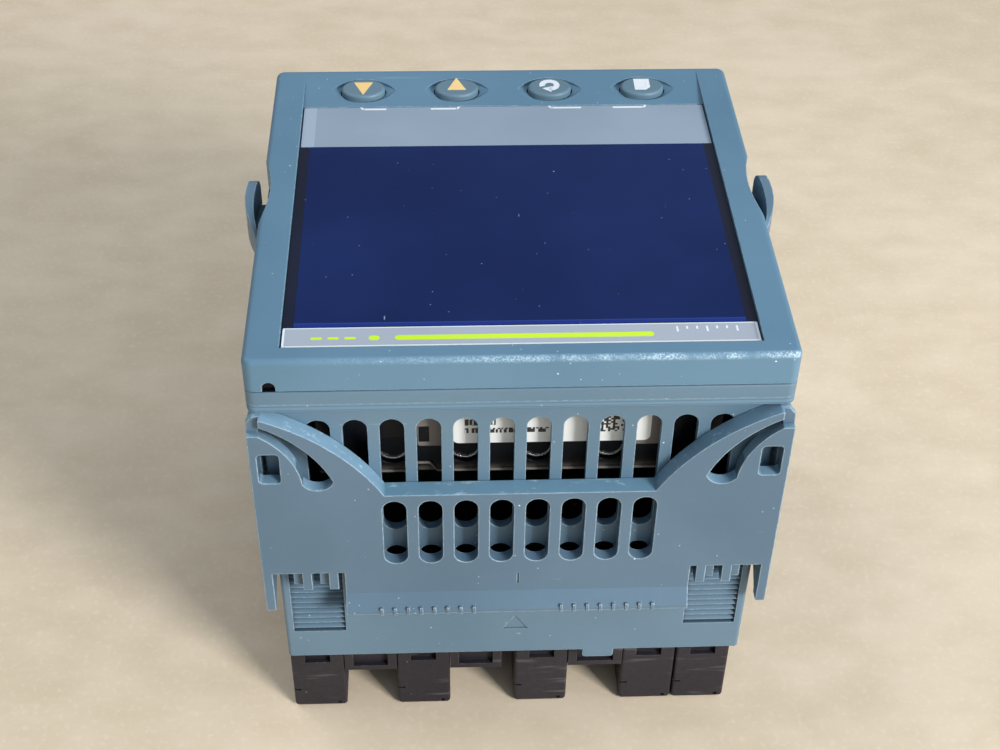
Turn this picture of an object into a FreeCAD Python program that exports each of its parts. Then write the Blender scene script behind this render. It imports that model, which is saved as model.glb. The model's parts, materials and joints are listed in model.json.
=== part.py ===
import FreeCAD, Part
import math
import os

# A quarter-DIN temperature controller that plugs into a sleeve.
# It stands on its terminal blocks: +Z points out of the display, and the side
# that is uppermost once the instrument is in its panel faces -Y.
# All sizes are in millimetres.

V = FreeCAD.Vector

# ---------------------------------------------------------------- main sizes
front_size = 96.0            # bezel, sleeve flange and gasket are this square
block_height = 20.85         # feet of the terminal blocks to the sleeve
sleeve_length = 73.15        # sleeve, from its rear edge to its front face
bezel_depth = 6.7            # bezel, from its rear edge to its front face
seat_gap = 0.3               # bezel to sleeve flange, once plugged in

# ---------------------------------------------------------------- the sleeve
sleeve_front_size = 91.8     # body just behind the flange, passes a 92 mm hole
sleeve_rear_size = 91.4      # body at its rear edge
sleeve_wall = 1.8
sleeve_corner = 0.8
flange_thickness = 2.85
flange_corner = 1.8
flange_edge = 0.4
gasket_thickness = 2.15
gasket_chamfer = 0.6
gasket_fit = 0.15            # gasket to sleeve body, all round
slot_pitch = 6.57
slot_width = 4.4
slot_count = 12
slot_length = 28.1
slot_drop = 8.5              # front face of the sleeve to the top of the slots
web_between_rows = 4.4
short_slot_count = 8
short_slot_length = 8.2
ratchet_pitch = 1.5
ratchet_depth = 1.0          # foot of a tooth below the sleeve face
ratchet_sink = 0.15          # tip of a tooth below the sleeve face
ratchet_rise = 0.93          # sloping side of a tooth
ratchet_teeth = 22
ratchet_start = 7.5          # above the rear edge of the sleeve
ratchet_width = 10.3
ratchet_inset = 1.65         # side of the sleeve to the teeth
rear_tab_width = 6.3
rear_tab_reach = 2.3
rear_tab_at = 17.05
rear_tab_round = 0.8
mark_width = 5.0             # plain engraved pointer near the rear edge
mark_height = 4.0
mark_depth = 0.25
mark_rise = 7.0

# ----------------------------------------------------------- the retaining clip
clip_plate = 2.4
clip_side_gap = 0.6          # side walls to the sleeve
clip_depth = 3.5             # arms and ledge, outer face to sleeve side
clip_gap = 0.1               # arms to the sleeve face
clip_side_wall = 1.8
clip_front_gap = 0.2         # clip to gasket, pushed right home
clip_ledge_drop = 18.8       # tips of the arms to the ledge
clip_ledge_half = 24.7
clip_ledge_rim = 1.3
clip_slot_count = 8
clip_slot_length = 16.6
clip_slot_drop = 1.5
clip_window_inner = 32.9
clip_window_rise = 10.3
clip_leg_length = 49.5       # arm tips to the ends of the side legs
clip_wing = 11.5             # depth of the side walls
clip_wing_end = 1.5
clip_wing_slope = 3.0
clip_tip_inset = 2.7         # side of the clip to the tip of an arm
clip_corner_flat = 1.2
clip_corner_drop = 1.4
clip_post_sink = 1.2         # the corner posts lie back from the face
clip_shoulder_drop = 3.7     # arm tips to the shoulders
arm_bow_across = 8.6         # foot of an arm to the middle of its bow
arm_bow_drop = 7.8           # tip of an arm to the middle of its bow
arm_width = 9.0              # across the foot of an arm
arm_foot_drop = 15.1
arm_inner_bow_inset = 10.7
arm_inner_bow_drop = 8.3
arm_end_inset = 2.3
arm_end_drop = 1.6
horn_low_inset = 11.9
horn_low_drop = 17.2
horn_foot_inset = 9.1
horn_foot_drop = 15.8
horn_bow_inset = 7.3
horn_bow_drop = 9.6
horn_end_inset = 2.0
clip_lip_rise = 2.7
clip_lip_reach = 1.8
clip_lip_thickness = 1.5
clip_lip_fall = 2.5
clip_lip_edge = 0.8
clip_hole_inset = 1.4        # side of the clip to the small square hole
clip_hole_width = 3.9
clip_hole_height = 7.1
clip_hole_drop = 8.1
clip_hole_corner = 0.8
clip_mark_length = 2.9
clip_mark_rise = 6.5
clip_mark_width = 0.3
clip_mark_depth = 0.2
pawl_finger = 1.8
pawl_web = 1.8
pawl_web_sink = 1.1
pawl_length = 5.0
pawl_pitch = 5.0
pawl_inset = 1.2             # window edge to the first pawl
pawl_clearance = 0.15
tick_count = 8
tick_pitch = 2.53
tick_first = 8.4
tick_width = 0.6
tick_above = 0.9             # above the edge of the lip
tick_below = 0.1
tick_proud = 0.15
pawl_root = 0.5              # buried in the plate

# ------------------------------------------------------------------ latch ears
ear_stand_out = 3.3          # outermost point, beyond the bezel
ear_near = -7.0
ear_far = 11.0
ear_height = 6.8
ear_thickness = 1.5
ear_root_radius = 0.85
ear_clearance = 0.25
ear_gap = 0.3                # near end of the ear to the bezel side
ear_root_side_gap = 0.1
ear_root_drop = 0.5
ear_round = 3.0
scallop_near = -7.4
scallop_far = 14.2
scallop_depth = 1.6

# -------------------------------------------------------------------- the front
bezel_corner = 1.8
bezel_edge = 1.1
bezel_skin = 2.8
bezel_wall = 2.5
lens_half_width = 41.7
lens_near = -44.3
lens_far = 34.0
lens_recess = 0.7
lens_thickness = 1.4
lens_fit = 0.1
strip_rise_end = 46.5        # where the key strip comes level with the rim
lcd_half_width = 39.6
lcd_near = -38.2
lcd_far = 18.9
lcd_fit = 0.3
lcd_under_lens = 0.2
board_thickness = 1.6
display_board_rise = 0.1     # above the rear edge of the bezel
display_board_fit = 0.25
notch_width = 2.3
notch_height = 2.0
notch_at = -43.65

key_names = ("key_raise", "key_lower", "key_scroll", "key_page")
key_pitch = 19.6
key_row = 39.9
key_length = 9.1
key_width = 7.0
key_proud = 0.4              # above the front face of the bezel
key_round = 0.55
key_fit = 0.25
key_flange = 0.9
key_flange_thickness = 0.8
key_travel = 0.6
key_flange_gap = 0.1
dish_length = 13.5
dish_width = 8.6
dish_depth = 0.9
mat_thickness = 0.5
mat_margin = 2.6
mat_dome_radius = 2.2
mat_dome_height = 0.1

# ---------------------------------------------------- inside of the instrument
chassis_fit = 1.1            # chassis to the inside of the sleeve
chassis_wall = 1.5
chassis_front = 1.5
apron_length = 23.1
apron_inset = 6.0            # the aprons stop short of the corners of the case
chassis_rim = 9.0            # solid rim of the front plate
rail_margin = 6.0            # rails reach this far beyond the boards
rear_bar_width = 2.0
rail_rear = 30.0             # rear ends of the rails above the feet
rear_bar_height = 3.0
board_offset = 24.0          # inner faces of the two long boards
board_fit = 0.2
connector_width = 72.0
connector_height = 6.0
connector_depth = 6.0
connector_rear = 27.0
connector_groove = 1.4
connector_wall = 1.0
connector_floor = 1.5
label_width = 36.0
label_height = 12.5
label_thickness = 0.2
label_at = 5.8
label_rise = 6.9             # lower edge of the apron to the label
label_corner = 1.2
can_radius = 3.0
can_height = 16.6
can_pitch = 13.2
can_middle = -3.3
can_count = 4
can_rise = 5.2               # lower edge of the apron to the middle of a can
can_edge = 0.7
can_groove = 0.35
can_groove_width = 0.8
can_groove_rise = 2.0
can_fit = 0.3                # can to its hole in the apron
transformer_width = 26.0
transformer_depth = 17.0
transformer_height = 23.0
transformer_at = 8.0
transformer_rise = 27.0      # foot of the board to the middle of the transformer
bobbin_inset = 4.0
bobbin_overhang = 3.0
core_edge = 1.0
relay_count = 3
relay_width = 19.0
relay_height = 10.0
relay_depth = 15.0
relay_pitch = 24.0
relay_rise = 29.0
relay_edge = 0.8

# ---------------------------------------------------------------- the terminals
row_1_at = -40.4             # middles of the five rows of terminals
row_2_at = -18.6
row_3_at = 5.9
row_4_at = 28.2
row_5_at = 39.5
row_width = 11.0
row_length = 85.2
row_corner = 0.6
deck_height = 12.0           # underside of the bridges between the rows
row_foot_round = 1.3
plug_height = 2.15           # part of the base inside the sleeve
plug_fit = 0.15
poles = 6
pole_pitch = 13.8
well_radius = 2.9
well_depth = 3.6
screw_head_radius = 2.6
screw_head_height = 2.0
screw_radius = 1.5
screw_length = 6.0
screw_slot = 0.7
screw_slot_depth = 0.9
screw_fit = 0.1
screw_end_gap = 0.6
entry_width = 5.4
entry_height = 3.6
entry_depth = 6.0
entry_rise = 2.0             # screw well to the wire entry
clamp_inset = 1.0
clamp_size = 4.6
clamp_thickness = 0.9
window_width = 5.2
window_height = 6.25
window_depth = 1.2
bridge_window_height = 7.65
bridge_window_inset = 1.8
bridge_2_gap = 2.8           # the second bridge stops short of the third row
nick_length = 1.5            # mould marks on the ends of the rows
nick_height = 0.6
nick_rise = 5.5
nick_depth = 0.5
pin_mark_radius = 0.5
pin_mark_inset = 1.7
pin_mark_rise = 1.4
bridge_fit = 0.05            # bridge to the rows beside it
blade_width = 2.4
blade_thickness = 0.6
blade_pitch = 6.0
blade_count = 12
blade_height = 8.0

# ------------------------------------------------------------- worked-out levels
sleeve_rear_z = block_height
sleeve_front_z = sleeve_rear_z + sleeve_length
flange_rear_z = sleeve_front_z - flange_thickness
gasket_rear_z = flange_rear_z - gasket_thickness
bezel_rear_z = sleeve_front_z + seat_gap
front_z = bezel_rear_z + bezel_depth
skin_rear_z = front_z - bezel_skin
lens_top_z = front_z - lens_recess
lens_rear_z = lens_top_z - lens_thickness
display_board_z = bezel_rear_z + display_board_rise
display_board_front_z = display_board_z + board_thickness
half_front = front_size / 2
pocket_half = half_front - bezel_wall
sleeve_half_front = sleeve_front_size / 2
sleeve_half_rear = sleeve_rear_size / 2
cavity_front = sleeve_half_front - sleeve_wall
cavity_rear = sleeve_half_rear - sleeve_wall
chassis_half = cavity_rear - chassis_fit
chassis_front_z = display_board_z
clip_width = sleeve_front_size + 2 * (clip_side_gap + clip_side_wall)
clip_tip_z = gasket_rear_z - clip_front_gap
clip_ledge_z = clip_tip_z - clip_ledge_drop
clip_leg_z = clip_tip_z - clip_leg_length
clip_window_z = clip_leg_z + clip_window_rise
clip_inner_y = sleeve_half_front + clip_gap
clip_outer_y = clip_inner_y + clip_depth
board_rear_z = connector_rear + connector_height
base_top_z = sleeve_rear_z + plug_height
ear_reach = half_front + ear_stand_out
ratchet_outer = sleeve_half_rear - ratchet_inset
ratchet_inner = ratchet_outer - ratchet_width
row_centres = (row_1_at, row_2_at, row_3_at, row_4_at, row_5_at)


# ------------------------------------------------------------------ small tools
def box(x0, x1, y0, y1, z0, z1):
    return Part.makeBox(x1 - x0, y1 - y0, z1 - z0, V(x0, y0, z0))


def prism(points, along):
    # a closed outline of corner points, pushed along a vector
    wire = Part.makePolygon(points + [points[0]])
    return Part.Face(wire).extrude(along)


def outline_prism(edges, along):
    # a closed outline of lines and arcs, pushed along a vector
    wire = Part.Wire(Part.__sortEdges__(edges))
    return Part.Face(wire).extrude(along)


def arc(start, middle, end):
    return Part.Arc(start, middle, end).toShape()


def line(start, end):
    return Part.LineSegment(start, end).toShape()


def fuse_all(shapes):
    whole = shapes[0]
    if len(shapes) > 1:
        whole = whole.fuse(shapes[1:])
    return whole.removeSplitter()


def rounded(shape, radius, chosen):
    edges = [edge for edge in shape.Edges if chosen(edge)]
    return shape.makeFillet(radius, edges)


def upright(edge):
    # an edge that runs mostly along Z
    box_of = edge.BoundBox
    return box_of.ZLength > 4 * max(box_of.XLength, box_of.YLength)


def at_level(z):
    def chosen(edge):
        return abs(edge.BoundBox.ZMin - z) < 0.001 and abs(edge.BoundBox.ZMax - z) < 0.001
    return chosen


def half_turned(shape):
    # the same shape on the opposite side of the case
    turned = shape.copy()
    turned.rotate(V(0, 0, 0), V(0, 0, 1), 180)
    return turned


def side_mirrored(shape):
    return shape.mirror(V(0, 0, 0), V(1, 0, 0))


def rounded_square(half, radius, z0, z1):
    return rounded(box(-half, half, -half, half, z0, z1), radius, upright)


def tapered_box(half_rear, half_front_end, z_rear, z_front):
    length = z_front - z_rear
    wedge = Part.makeWedge(-half_rear, 0, -half_rear, -half_front_end, -half_front_end,
                           half_rear, length, half_rear, half_front_end, half_front_end)
    wedge.rotate(V(0, 0, 0), V(1, 0, 0), 90)
    wedge.translate(V(0, 0, z_rear))
    return wedge


def slot_cutter(x, width, z0, z1, y0, y1):
    # a straight slot with round ends, cut along Y
    r = width / 2
    left, right = x - r, x + r
    edges = [
        arc(V(left, y0, z1 - r), V(x, y0, z1), V(right, y0, z1 - r)),
        line(V(right, y0, z1 - r), V(right, y0, z0 + r)),
        arc(V(right, y0, z0 + r), V(x, y0, z0), V(left, y0, z0 + r)),
        line(V(left, y0, z0 + r), V(left, y0, z1 - r)),
    ]
    return outline_prism(edges, V(0, y1 - y0, 0))


def spread(count, pitch):
    # centres of an even row about the middle
    return [(i - (count - 1) / 2) * pitch for i in range(count)]


def half_size_at(z, half_rear, half_front_end):
    share = (z - sleeve_rear_z) / (flange_rear_z - sleeve_rear_z)
    return half_rear + (half_front_end - half_rear) * share


def ellipse_prism(x, y, length, width, z0, z1):
    curve = Part.Ellipse(V(x, y, z0), length / 2, width / 2).toShape()
    return Part.Face(Part.Wire([curve])).extrude(V(0, 0, z1 - z0))


# -------------------------------------------------------------------- the sleeve
def ratchet_cutter():
    # one shallow channel with a saw-tooth floor, for the face that looks towards -Y
    z0 = sleeve_rear_z + ratchet_start
    outside = -(sleeve_half_front + 1)
    floor = []
    for tooth in range(ratchet_teeth):
        z = z0 + tooth * ratchet_pitch
        face_y = half_size_at(z, sleeve_half_rear, sleeve_half_front)
        floor.append(V(ratchet_inner, -(face_y - ratchet_depth), z))
        floor.append(V(ratchet_inner, -(face_y - ratchet_sink), z + ratchet_rise))
    z_end = z0 + ratchet_teeth * ratchet_pitch
    floor.append(V(ratchet_inner, floor[-1].y, z_end))
    outline = [V(ratchet_inner, outside, z0)] + floor + [V(ratchet_inner, outside, z_end)]
    return prism(outline, V(ratchet_width, 0, 0))


def sleeve():
    body = tapered_box(sleeve_half_rear, sleeve_half_front, sleeve_rear_z, flange_rear_z)
    body = rounded(body, sleeve_corner, upright)
    flange = rounded_square(half_front, flange_corner, flange_rear_z, sleeve_front_z)
    flange = rounded(flange, flange_edge, at_level(sleeve_front_z))
    body = body.fuse(flange)
    cavity = tapered_box(cavity_rear, cavity_front, sleeve_rear_z, flange_rear_z)
    body = body.cut(cavity)
    body = body.cut(box(-cavity_front, cavity_front, -cavity_front, cavity_front,
                        flange_rear_z, sleeve_front_z))

    slot_top = sleeve_front_z - slot_drop
    slot_bottom = slot_top - slot_length
    short_top = slot_bottom - web_between_rows
    y_out = -(sleeve_half_front + 1)
    y_in = -(cavity_rear - 1)
    cuts = [slot_cutter(x, slot_width, slot_bottom, slot_top, y_out, y_in)
            for x in spread(slot_count, slot_pitch)]
    cuts += [slot_cutter(x, slot_width, short_top - short_slot_length, short_top, y_out, y_in)
             for x in spread(short_slot_count, slot_pitch)]
    grooves = ratchet_cutter()
    cuts += [grooves, side_mirrored(grooves)]
    cuts += [half_turned(cut) for cut in cuts]

    # pockets in the flange for the roots of the two latch ears
    for side in (-1, 1):
        inner = ear_axis_x() - ear_root_radius - ear_clearance
        x0, x1 = sorted((side * inner, side * (half_front + 1)))
        cuts.append(box(x0, x1, ear_near - ear_clearance, ear_far + ear_clearance,
                        ear_axis_z() - ear_root_radius - ear_clearance, sleeve_front_z + 1))

    # plain pointer that shows which side goes up
    mark_z = sleeve_rear_z + mark_rise
    mark_y = -half_size_at(mark_z, sleeve_half_rear, sleeve_half_front)
    cuts.append(prism([V(-mark_width / 2, mark_y + mark_depth, mark_z),
                       V(mark_width / 2, mark_y + mark_depth, mark_z),
                       V(0, mark_y + mark_depth, mark_z + mark_height)], V(0, -1, 0)))
    body = body.cut(cuts)

    tab_y = -sleeve_half_rear
    tab = box(rear_tab_at - rear_tab_width / 2, rear_tab_at + rear_tab_width / 2,
              tab_y, tab_y + sleeve_wall, sleeve_rear_z - rear_tab_reach, sleeve_rear_z)
    tab = rounded(tab, rear_tab_round, lambda edge: edge.BoundBox.YLength > 1 and
                  edge.BoundBox.ZMax < sleeve_rear_z - rear_tab_reach + 0.001)
    return body.fuse(tab).removeSplitter()


def panel_gasket():
    ring = rounded_square(half_front, flange_corner, gasket_rear_z, flange_rear_z)
    ring = ring.makeChamfer(gasket_chamfer, [edge for edge in ring.Edges
                                             if at_level(gasket_rear_z)(edge)])
    hole = sleeve_half_front + gasket_fit
    return ring.cut(box(-hole, hole, -hole, hole, gasket_rear_z, flange_rear_z))


# ------------------------------------------------------------------ latch ears
def ear_axis_x():
    return half_front - ear_root_radius - ear_root_side_gap


def ear_axis_z():
    return sleeve_front_z - ear_root_radius - ear_root_drop


def latch_ear(side):
    # built on the +X side; a curved finger plate on a round root
    low = ear_axis_z() - ear_root_radius / 3
    high = low + ear_height
    middle = (ear_near + ear_far) / 2
    inner_near = half_front + ear_gap
    outer_near = inner_near + ear_thickness / 3
    outer_far = ear_reach - ear_stand_out / 5
    inner_middle = ear_reach - 1.1 * ear_thickness
    inner_far = outer_far - ear_thickness
    plan = [
        arc(V(outer_near, ear_near, low), V(ear_reach, middle, low), V(outer_far, ear_far, low)),
        line(V(outer_far, ear_far, low), V(inner_far, ear_far, low)),
        arc(V(inner_far, ear_far, low), V(inner_middle, middle, low), V(inner_near, ear_near, low)),
        line(V(inner_near, ear_near, low), V(outer_near, ear_near, low)),
    ]
    plate = outline_prism(plan, V(0, 0, high - low))
    tongue = box(ear_axis_x(), ear_reach + 1, ear_near, ear_far, low - 1, high)
    tongue = rounded(tongue, ear_round, lambda edge: edge.BoundBox.XLength > 2 and
                     edge.BoundBox.ZMin > high - 0.001)
    plate = plate.common(tongue)
    root = Part.makeCylinder(ear_root_radius, ear_far - ear_near, V(ear_axis_x(), ear_near, ear_axis_z()),
                             V(0, 1, 0))
    web_near = ear_near + (ear_far - ear_near) / 4
    web = box(ear_axis_x(), inner_middle + ear_thickness / 2, web_near, ear_far - ear_thickness,
              ear_axis_z() - ear_root_radius / 3, ear_axis_z() + ear_root_radius / 2)
    ear = fuse_all([plate, root, web])
    return ear if side > 0 else side_mirrored(ear)


# ----------------------------------------------------------- the retaining clip
def lip_root_z():
    return clip_leg_z + clip_lip_rise


def clip_outline_edges(y):
    # right half of the face of the clip, from the ledge out to the corner and back
    tip, ledge, outer = clip_tip_z, clip_ledge_z, clip_width / 2
    inner = outer - clip_side_wall
    corners = [
        V(outer - clip_corner_flat, y, tip),
        V(outer, y, tip - clip_corner_drop),
        V(outer, y, clip_leg_z),
        V(inner, y, clip_leg_z),
        V(inner, y, clip_window_z),
        V(clip_window_inner, y, clip_window_z),
        V(clip_window_inner, y, lip_root_z()),
        V(0, y, lip_root_z()),
        V(0, y, ledge),
    ]
    arm_foot = V(clip_ledge_half, y, ledge)
    arm_bow = V(clip_ledge_half + arm_bow_across, y, tip - arm_bow_drop)
    arm_tip = V(outer - clip_tip_inset, y, tip)
    edges = [line(corners[-1], arm_foot), arc(arm_foot, arm_bow, arm_tip), line(arm_tip, corners[0])]
    return edges + [line(corners[i], corners[i + 1]) for i in range(len(corners) - 1)]


def arm_inner_arc(y):
    # inner side of the spring arm, from its foot out to its end
    tip, outer = clip_tip_z, clip_width / 2
    foot = V(clip_ledge_half + arm_width, y, tip - arm_foot_drop)
    bow = V(outer - arm_inner_bow_inset, y, tip - arm_inner_bow_drop)
    end = V(outer - arm_end_inset, y, tip - arm_end_drop)
    return foot, end, arc(foot, bow, end)


def horn_edges(y):
    # the horn-shaped opening between the arm and the shoulder
    tip, outer = clip_tip_z, clip_width / 2
    foot, end, inner_arc = arm_inner_arc(y)
    low = V(outer - horn_low_inset, y, tip - horn_low_drop)
    shoulder_foot = V(outer - horn_foot_inset, y, tip - horn_foot_drop)
    shoulder_bow = V(outer - horn_bow_inset, y, tip - horn_bow_drop)
    shoulder_end = V(outer - horn_end_inset, y, tip - clip_shoulder_drop)
    return [inner_arc, arc(foot, low, shoulder_foot), arc(shoulder_foot, shoulder_bow, shoulder_end),
            line(shoulder_end, end)]


def spring_arm(y_out, y_in):
    # the part of the face between the outer and the inner side of an arm, at full depth
    outer, tip = clip_width / 2, clip_tip_z
    deep = outline_prism(clip_outline_edges(y_out), V(0, y_in - y_out, 0))
    foot, end, inner_arc = arm_inner_arc(y_out - 1)
    below = clip_ledge_z - 1
    corner_right = V(outer + 1, y_out - 1, end.z)
    corner_low = V(outer + 1, y_out - 1, below)
    foot_low = V(foot.x, y_out - 1, below)
    keep_out = outline_prism([inner_arc, line(end, corner_right), line(corner_right, corner_low),
                              line(corner_low, foot_low), line(foot_low, foot)],
                             V(0, y_in - y_out + 2, 0))
    zone = box(clip_ledge_half - clip_ledge_rim, outer - clip_corner_flat, y_out, y_in,
               clip_ledge_z - clip_ledge_rim, tip)
    return deep.common(zone).cut(keep_out)


def side_wing(y_out):
    # side wall of the clip, which grips the side of the sleeve
    x = clip_width / 2 - clip_side_wall
    top = clip_tip_z - clip_corner_drop
    return prism([
        V(x, y_out, clip_leg_z),
        V(x, y_out, top),
        V(x, y_out + clip_wing, top - clip_wing_slope),
        V(x, y_out + clip_wing, clip_window_z),
        V(x, y_out + clip_wing_end, clip_leg_z),
    ], V(clip_side_wall, 0, 0))


def retaining_clip():
    # the clip on the -Y side: a plate with two spring arms and two side walls
    outer = clip_width / 2
    y_out, y_in = -clip_outer_y, -clip_inner_y
    y_plate = y_out + clip_plate
    plate = outline_prism(clip_outline_edges(y_out), V(0, clip_plate, 0))
    ledge = box(0, clip_ledge_half + clip_ledge_rim, y_out, y_in, clip_ledge_z - clip_ledge_rim, clip_ledge_z)
    right = plate.fuse([spring_arm(y_out, y_in), ledge, side_wing(y_out)])
    right = right.fuse([pawl(index, y_out) for index in range(2)])
    horn = outline_prism(horn_edges(y_out - 1), V(0, clip_depth + 2, 0))
    hole_top = clip_tip_z - clip_hole_drop
    hole_side = outer - clip_hole_inset
    hole = box(hole_side - clip_hole_width, hole_side, y_out - 1, y_plate + 0.01,
               hole_top - clip_hole_height, hole_top)
    hole = rounded(hole, clip_hole_corner, lambda edge: edge.BoundBox.YLength > 1)
    post = box(outer - arm_end_inset, outer + 1, y_out - 1, y_out + clip_post_sink,
               clip_tip_z - clip_shoulder_drop, clip_tip_z + 1)
    right = right.cut([horn, hole, post])

    whole = right.fuse([side_mirrored(right), clip_lip(y_out)])
    slot_top = clip_ledge_z - clip_slot_drop
    cuts = [slot_cutter(x, slot_width, slot_top - clip_slot_length, slot_top, y_out - 1, y_plate + 1)
            for x in spread(clip_slot_count, slot_pitch)]
    mark_z = clip_leg_z + clip_mark_rise
    cuts.append(box(-clip_mark_width / 2, clip_mark_width / 2, y_out - 1, y_out + clip_mark_depth,
                    mark_z, mark_z + clip_mark_length))
    return whole.cut(cuts).removeSplitter()


def pawl(index, y_out):
    # a finger whose tip leans in to the ratchet, with a thinner web beside it
    root = clip_window_z + pawl_root
    tip = clip_window_z - pawl_length
    hook_z = tip + pawl_length / 3
    reach = half_size_at(hook_z, sleeve_half_rear, sleeve_half_front) + pawl_clearance
    back = y_out + clip_plate
    x = clip_window_inner + pawl_inset + index * pawl_pitch
    finger = prism([V(x, y_out, root), V(x, back, root), V(x, back, hook_z + pawl_length / 8),
                    V(x, -reach, hook_z), V(x, -reach, tip + pawl_length / 8),
                    V(x, back - clip_plate / 2, tip), V(x, y_out, tip + pawl_length / 12)],
                   V(pawl_finger, 0, 0))
    web = box(x + pawl_finger, x + pawl_finger + pawl_web, y_out + pawl_web_sink, back,
              tip + pawl_length / 6, root)
    return finger.fuse(web)


def clip_lip(y_out):
    # the rear edge of the plate flares out to make a finger grip
    root = lip_root_z()
    reach = clip_lip_reach
    left = -clip_window_inner
    edge_z = root - clip_lip_fall + clip_lip_edge
    lip = prism([
        V(left, y_out + clip_plate, root),
        V(left, y_out + clip_plate, root - clip_lip_edge),
        V(left, y_out - reach + clip_lip_thickness, root - clip_lip_fall),
        V(left, y_out - reach, root - clip_lip_fall),
        V(left, y_out - reach, edge_z),
        V(left, y_out, root + clip_lip_fall - clip_lip_edge),
        V(left, y_out + clip_plate / 2, root + clip_lip_fall - clip_lip_edge),
    ], V(2 * clip_window_inner, 0, 0))
    ticks = []
    for side in (-1, 1):
        for index in range(tick_count):
            x = side * (tick_first + index * tick_pitch)
            ticks.append(box(x - tick_width / 2, x + tick_width / 2, y_out - reach - tick_proud,
                             y_out - reach + clip_lip_thickness,
                             root - clip_lip_fall - tick_below, edge_z + tick_above))
    return lip.fuse(ticks)


# --------------------------------------------------------------------- the front
def strip_level(y):
    # height of the sloping strip that the keys stand in
    share = (y - lens_far) / (strip_rise_end - lens_far)
    return lens_top_z + lens_recess * share


def key_centres():
    return spread(len(key_names), key_pitch)


def dish_cutter(x):
    # an almond-shaped hollow, deepest at the key
    level = strip_level(key_row)
    reach = dish_length / 2
    radius = (reach ** 2 + dish_depth ** 2) / (2 * dish_depth)
    scoop = Part.makeCylinder(radius, dish_width + 2, V(x, key_row - dish_width / 2 - 1,
                              level - dish_depth + radius), V(0, 1, 0))
    y_lo, y_hi = key_row - dish_width / 2, key_row + dish_width / 2
    z = skin_rear_z
    almond = outline_prism([
        arc(V(x - reach, key_row, z), V(x, y_lo, z), V(x + reach, key_row, z)),
        arc(V(x + reach, key_row, z), V(x, y_hi, z), V(x - reach, key_row, z)),
    ], V(0, 0, bezel_skin + 2))
    return scoop.common(almond)


def scallop_cutter(side):
    middle = (scallop_near + scallop_far) / 2
    z = bezel_rear_z - 1
    x = side * half_front
    deep = side * (half_front - scallop_depth)
    far = side * (half_front + 2)
    return outline_prism([
        arc(V(x, scallop_near, z), V(deep, middle, z), V(x, scallop_far, z)),
        line(V(x, scallop_far, z), V(far, scallop_far, z)),
        line(V(far, scallop_far, z), V(far, scallop_near, z)),
        line(V(far, scallop_near, z), V(x, scallop_near, z)),
    ], V(0, 0, bezel_depth + 2))


def front_bezel():
    body = rounded_square(half_front, bezel_corner, bezel_rear_z, front_z)
    body = rounded(body, bezel_edge, at_level(front_z))
    cuts = [box(-pocket_half, pocket_half, -pocket_half, pocket_half, bezel_rear_z - 1, skin_rear_z)]
    cuts.append(box(-lens_half_width, lens_half_width, lens_near, lens_far, lens_rear_z, front_z + 1))
    cuts.append(box(-lcd_half_width - lcd_fit, lcd_half_width + lcd_fit, lcd_near - lcd_fit,
                    lcd_far + lcd_fit, skin_rear_z - 1, lens_rear_z + 1))
    cuts.append(prism([V(-lens_half_width, lens_far, lens_top_z),
                       V(-lens_half_width, strip_rise_end, front_z),
                       V(-lens_half_width, strip_rise_end, front_z + 1),
                       V(-lens_half_width, lens_far, front_z + 1)], V(2 * lens_half_width, 0, 0)))
    for x in key_centres():
        cuts.append(dish_cutter(x))
        cuts.append(ellipse_prism(x, key_row, key_length + 2 * key_fit, key_width + 2 * key_fit,
                                  skin_rear_z - 1, front_z + 1))
    cuts += [scallop_cutter(-1), scallop_cutter(1)]
    r = notch_width / 2
    notch_z = bezel_rear_z + notch_height - r
    cuts.append(Part.makeCylinder(r, bezel_wall + 2, V(notch_at, -half_front - 1, notch_z), V(0, 1, 0)))
    cuts.append(box(notch_at - r, notch_at + r, -half_front - 1, -half_front + bezel_wall + 1,
                    bezel_rear_z - 1, notch_z))
    for cut in cuts:
        body = body.cut(cut)
    return body.removeSplitter()


def display_lens():
    return box(-lens_half_width + lens_fit, lens_half_width - lens_fit, lens_near + lens_fit,
               lens_far - lens_fit, lens_rear_z, lens_top_z)


def lcd_module():
    return box(-lcd_half_width, lcd_half_width, lcd_near, lcd_far,
               display_board_front_z, lens_rear_z - lcd_under_lens)


def display_board():
    half = pocket_half - display_board_fit
    return box(-half, half, -half, half, display_board_z, display_board_front_z)


def key_flange_top():
    return skin_rear_z - key_flange_gap


def push_key(x):
    flange_top = key_flange_top()
    cap = ellipse_prism(x, key_row, key_length, key_width, flange_top - key_flange_thickness,
                        front_z + key_proud)
    cap = rounded(cap, key_round, at_level(front_z + key_proud))
    flange = ellipse_prism(x, key_row, key_length + 2 * key_flange, key_width + 2 * key_flange,
                           flange_top - key_flange_thickness, flange_top)
    return cap.fuse(flange).removeSplitter()


def key_mat():
    reach = key_centres()[-1] + key_length / 2 + key_flange + mat_margin
    near = key_row - key_width / 2 - key_flange - 0.5
    far = key_row + key_width / 2 + key_flange + 0.5
    top = display_board_front_z + mat_thickness
    mat = box(-reach, reach, near, far, display_board_front_z, top)
    domes = [Part.makeCylinder(mat_dome_radius, mat_thickness + mat_dome_height,
                               V(x, key_row, display_board_front_z)) for x in key_centres()]
    return mat.fuse(domes).removeSplitter()


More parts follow.
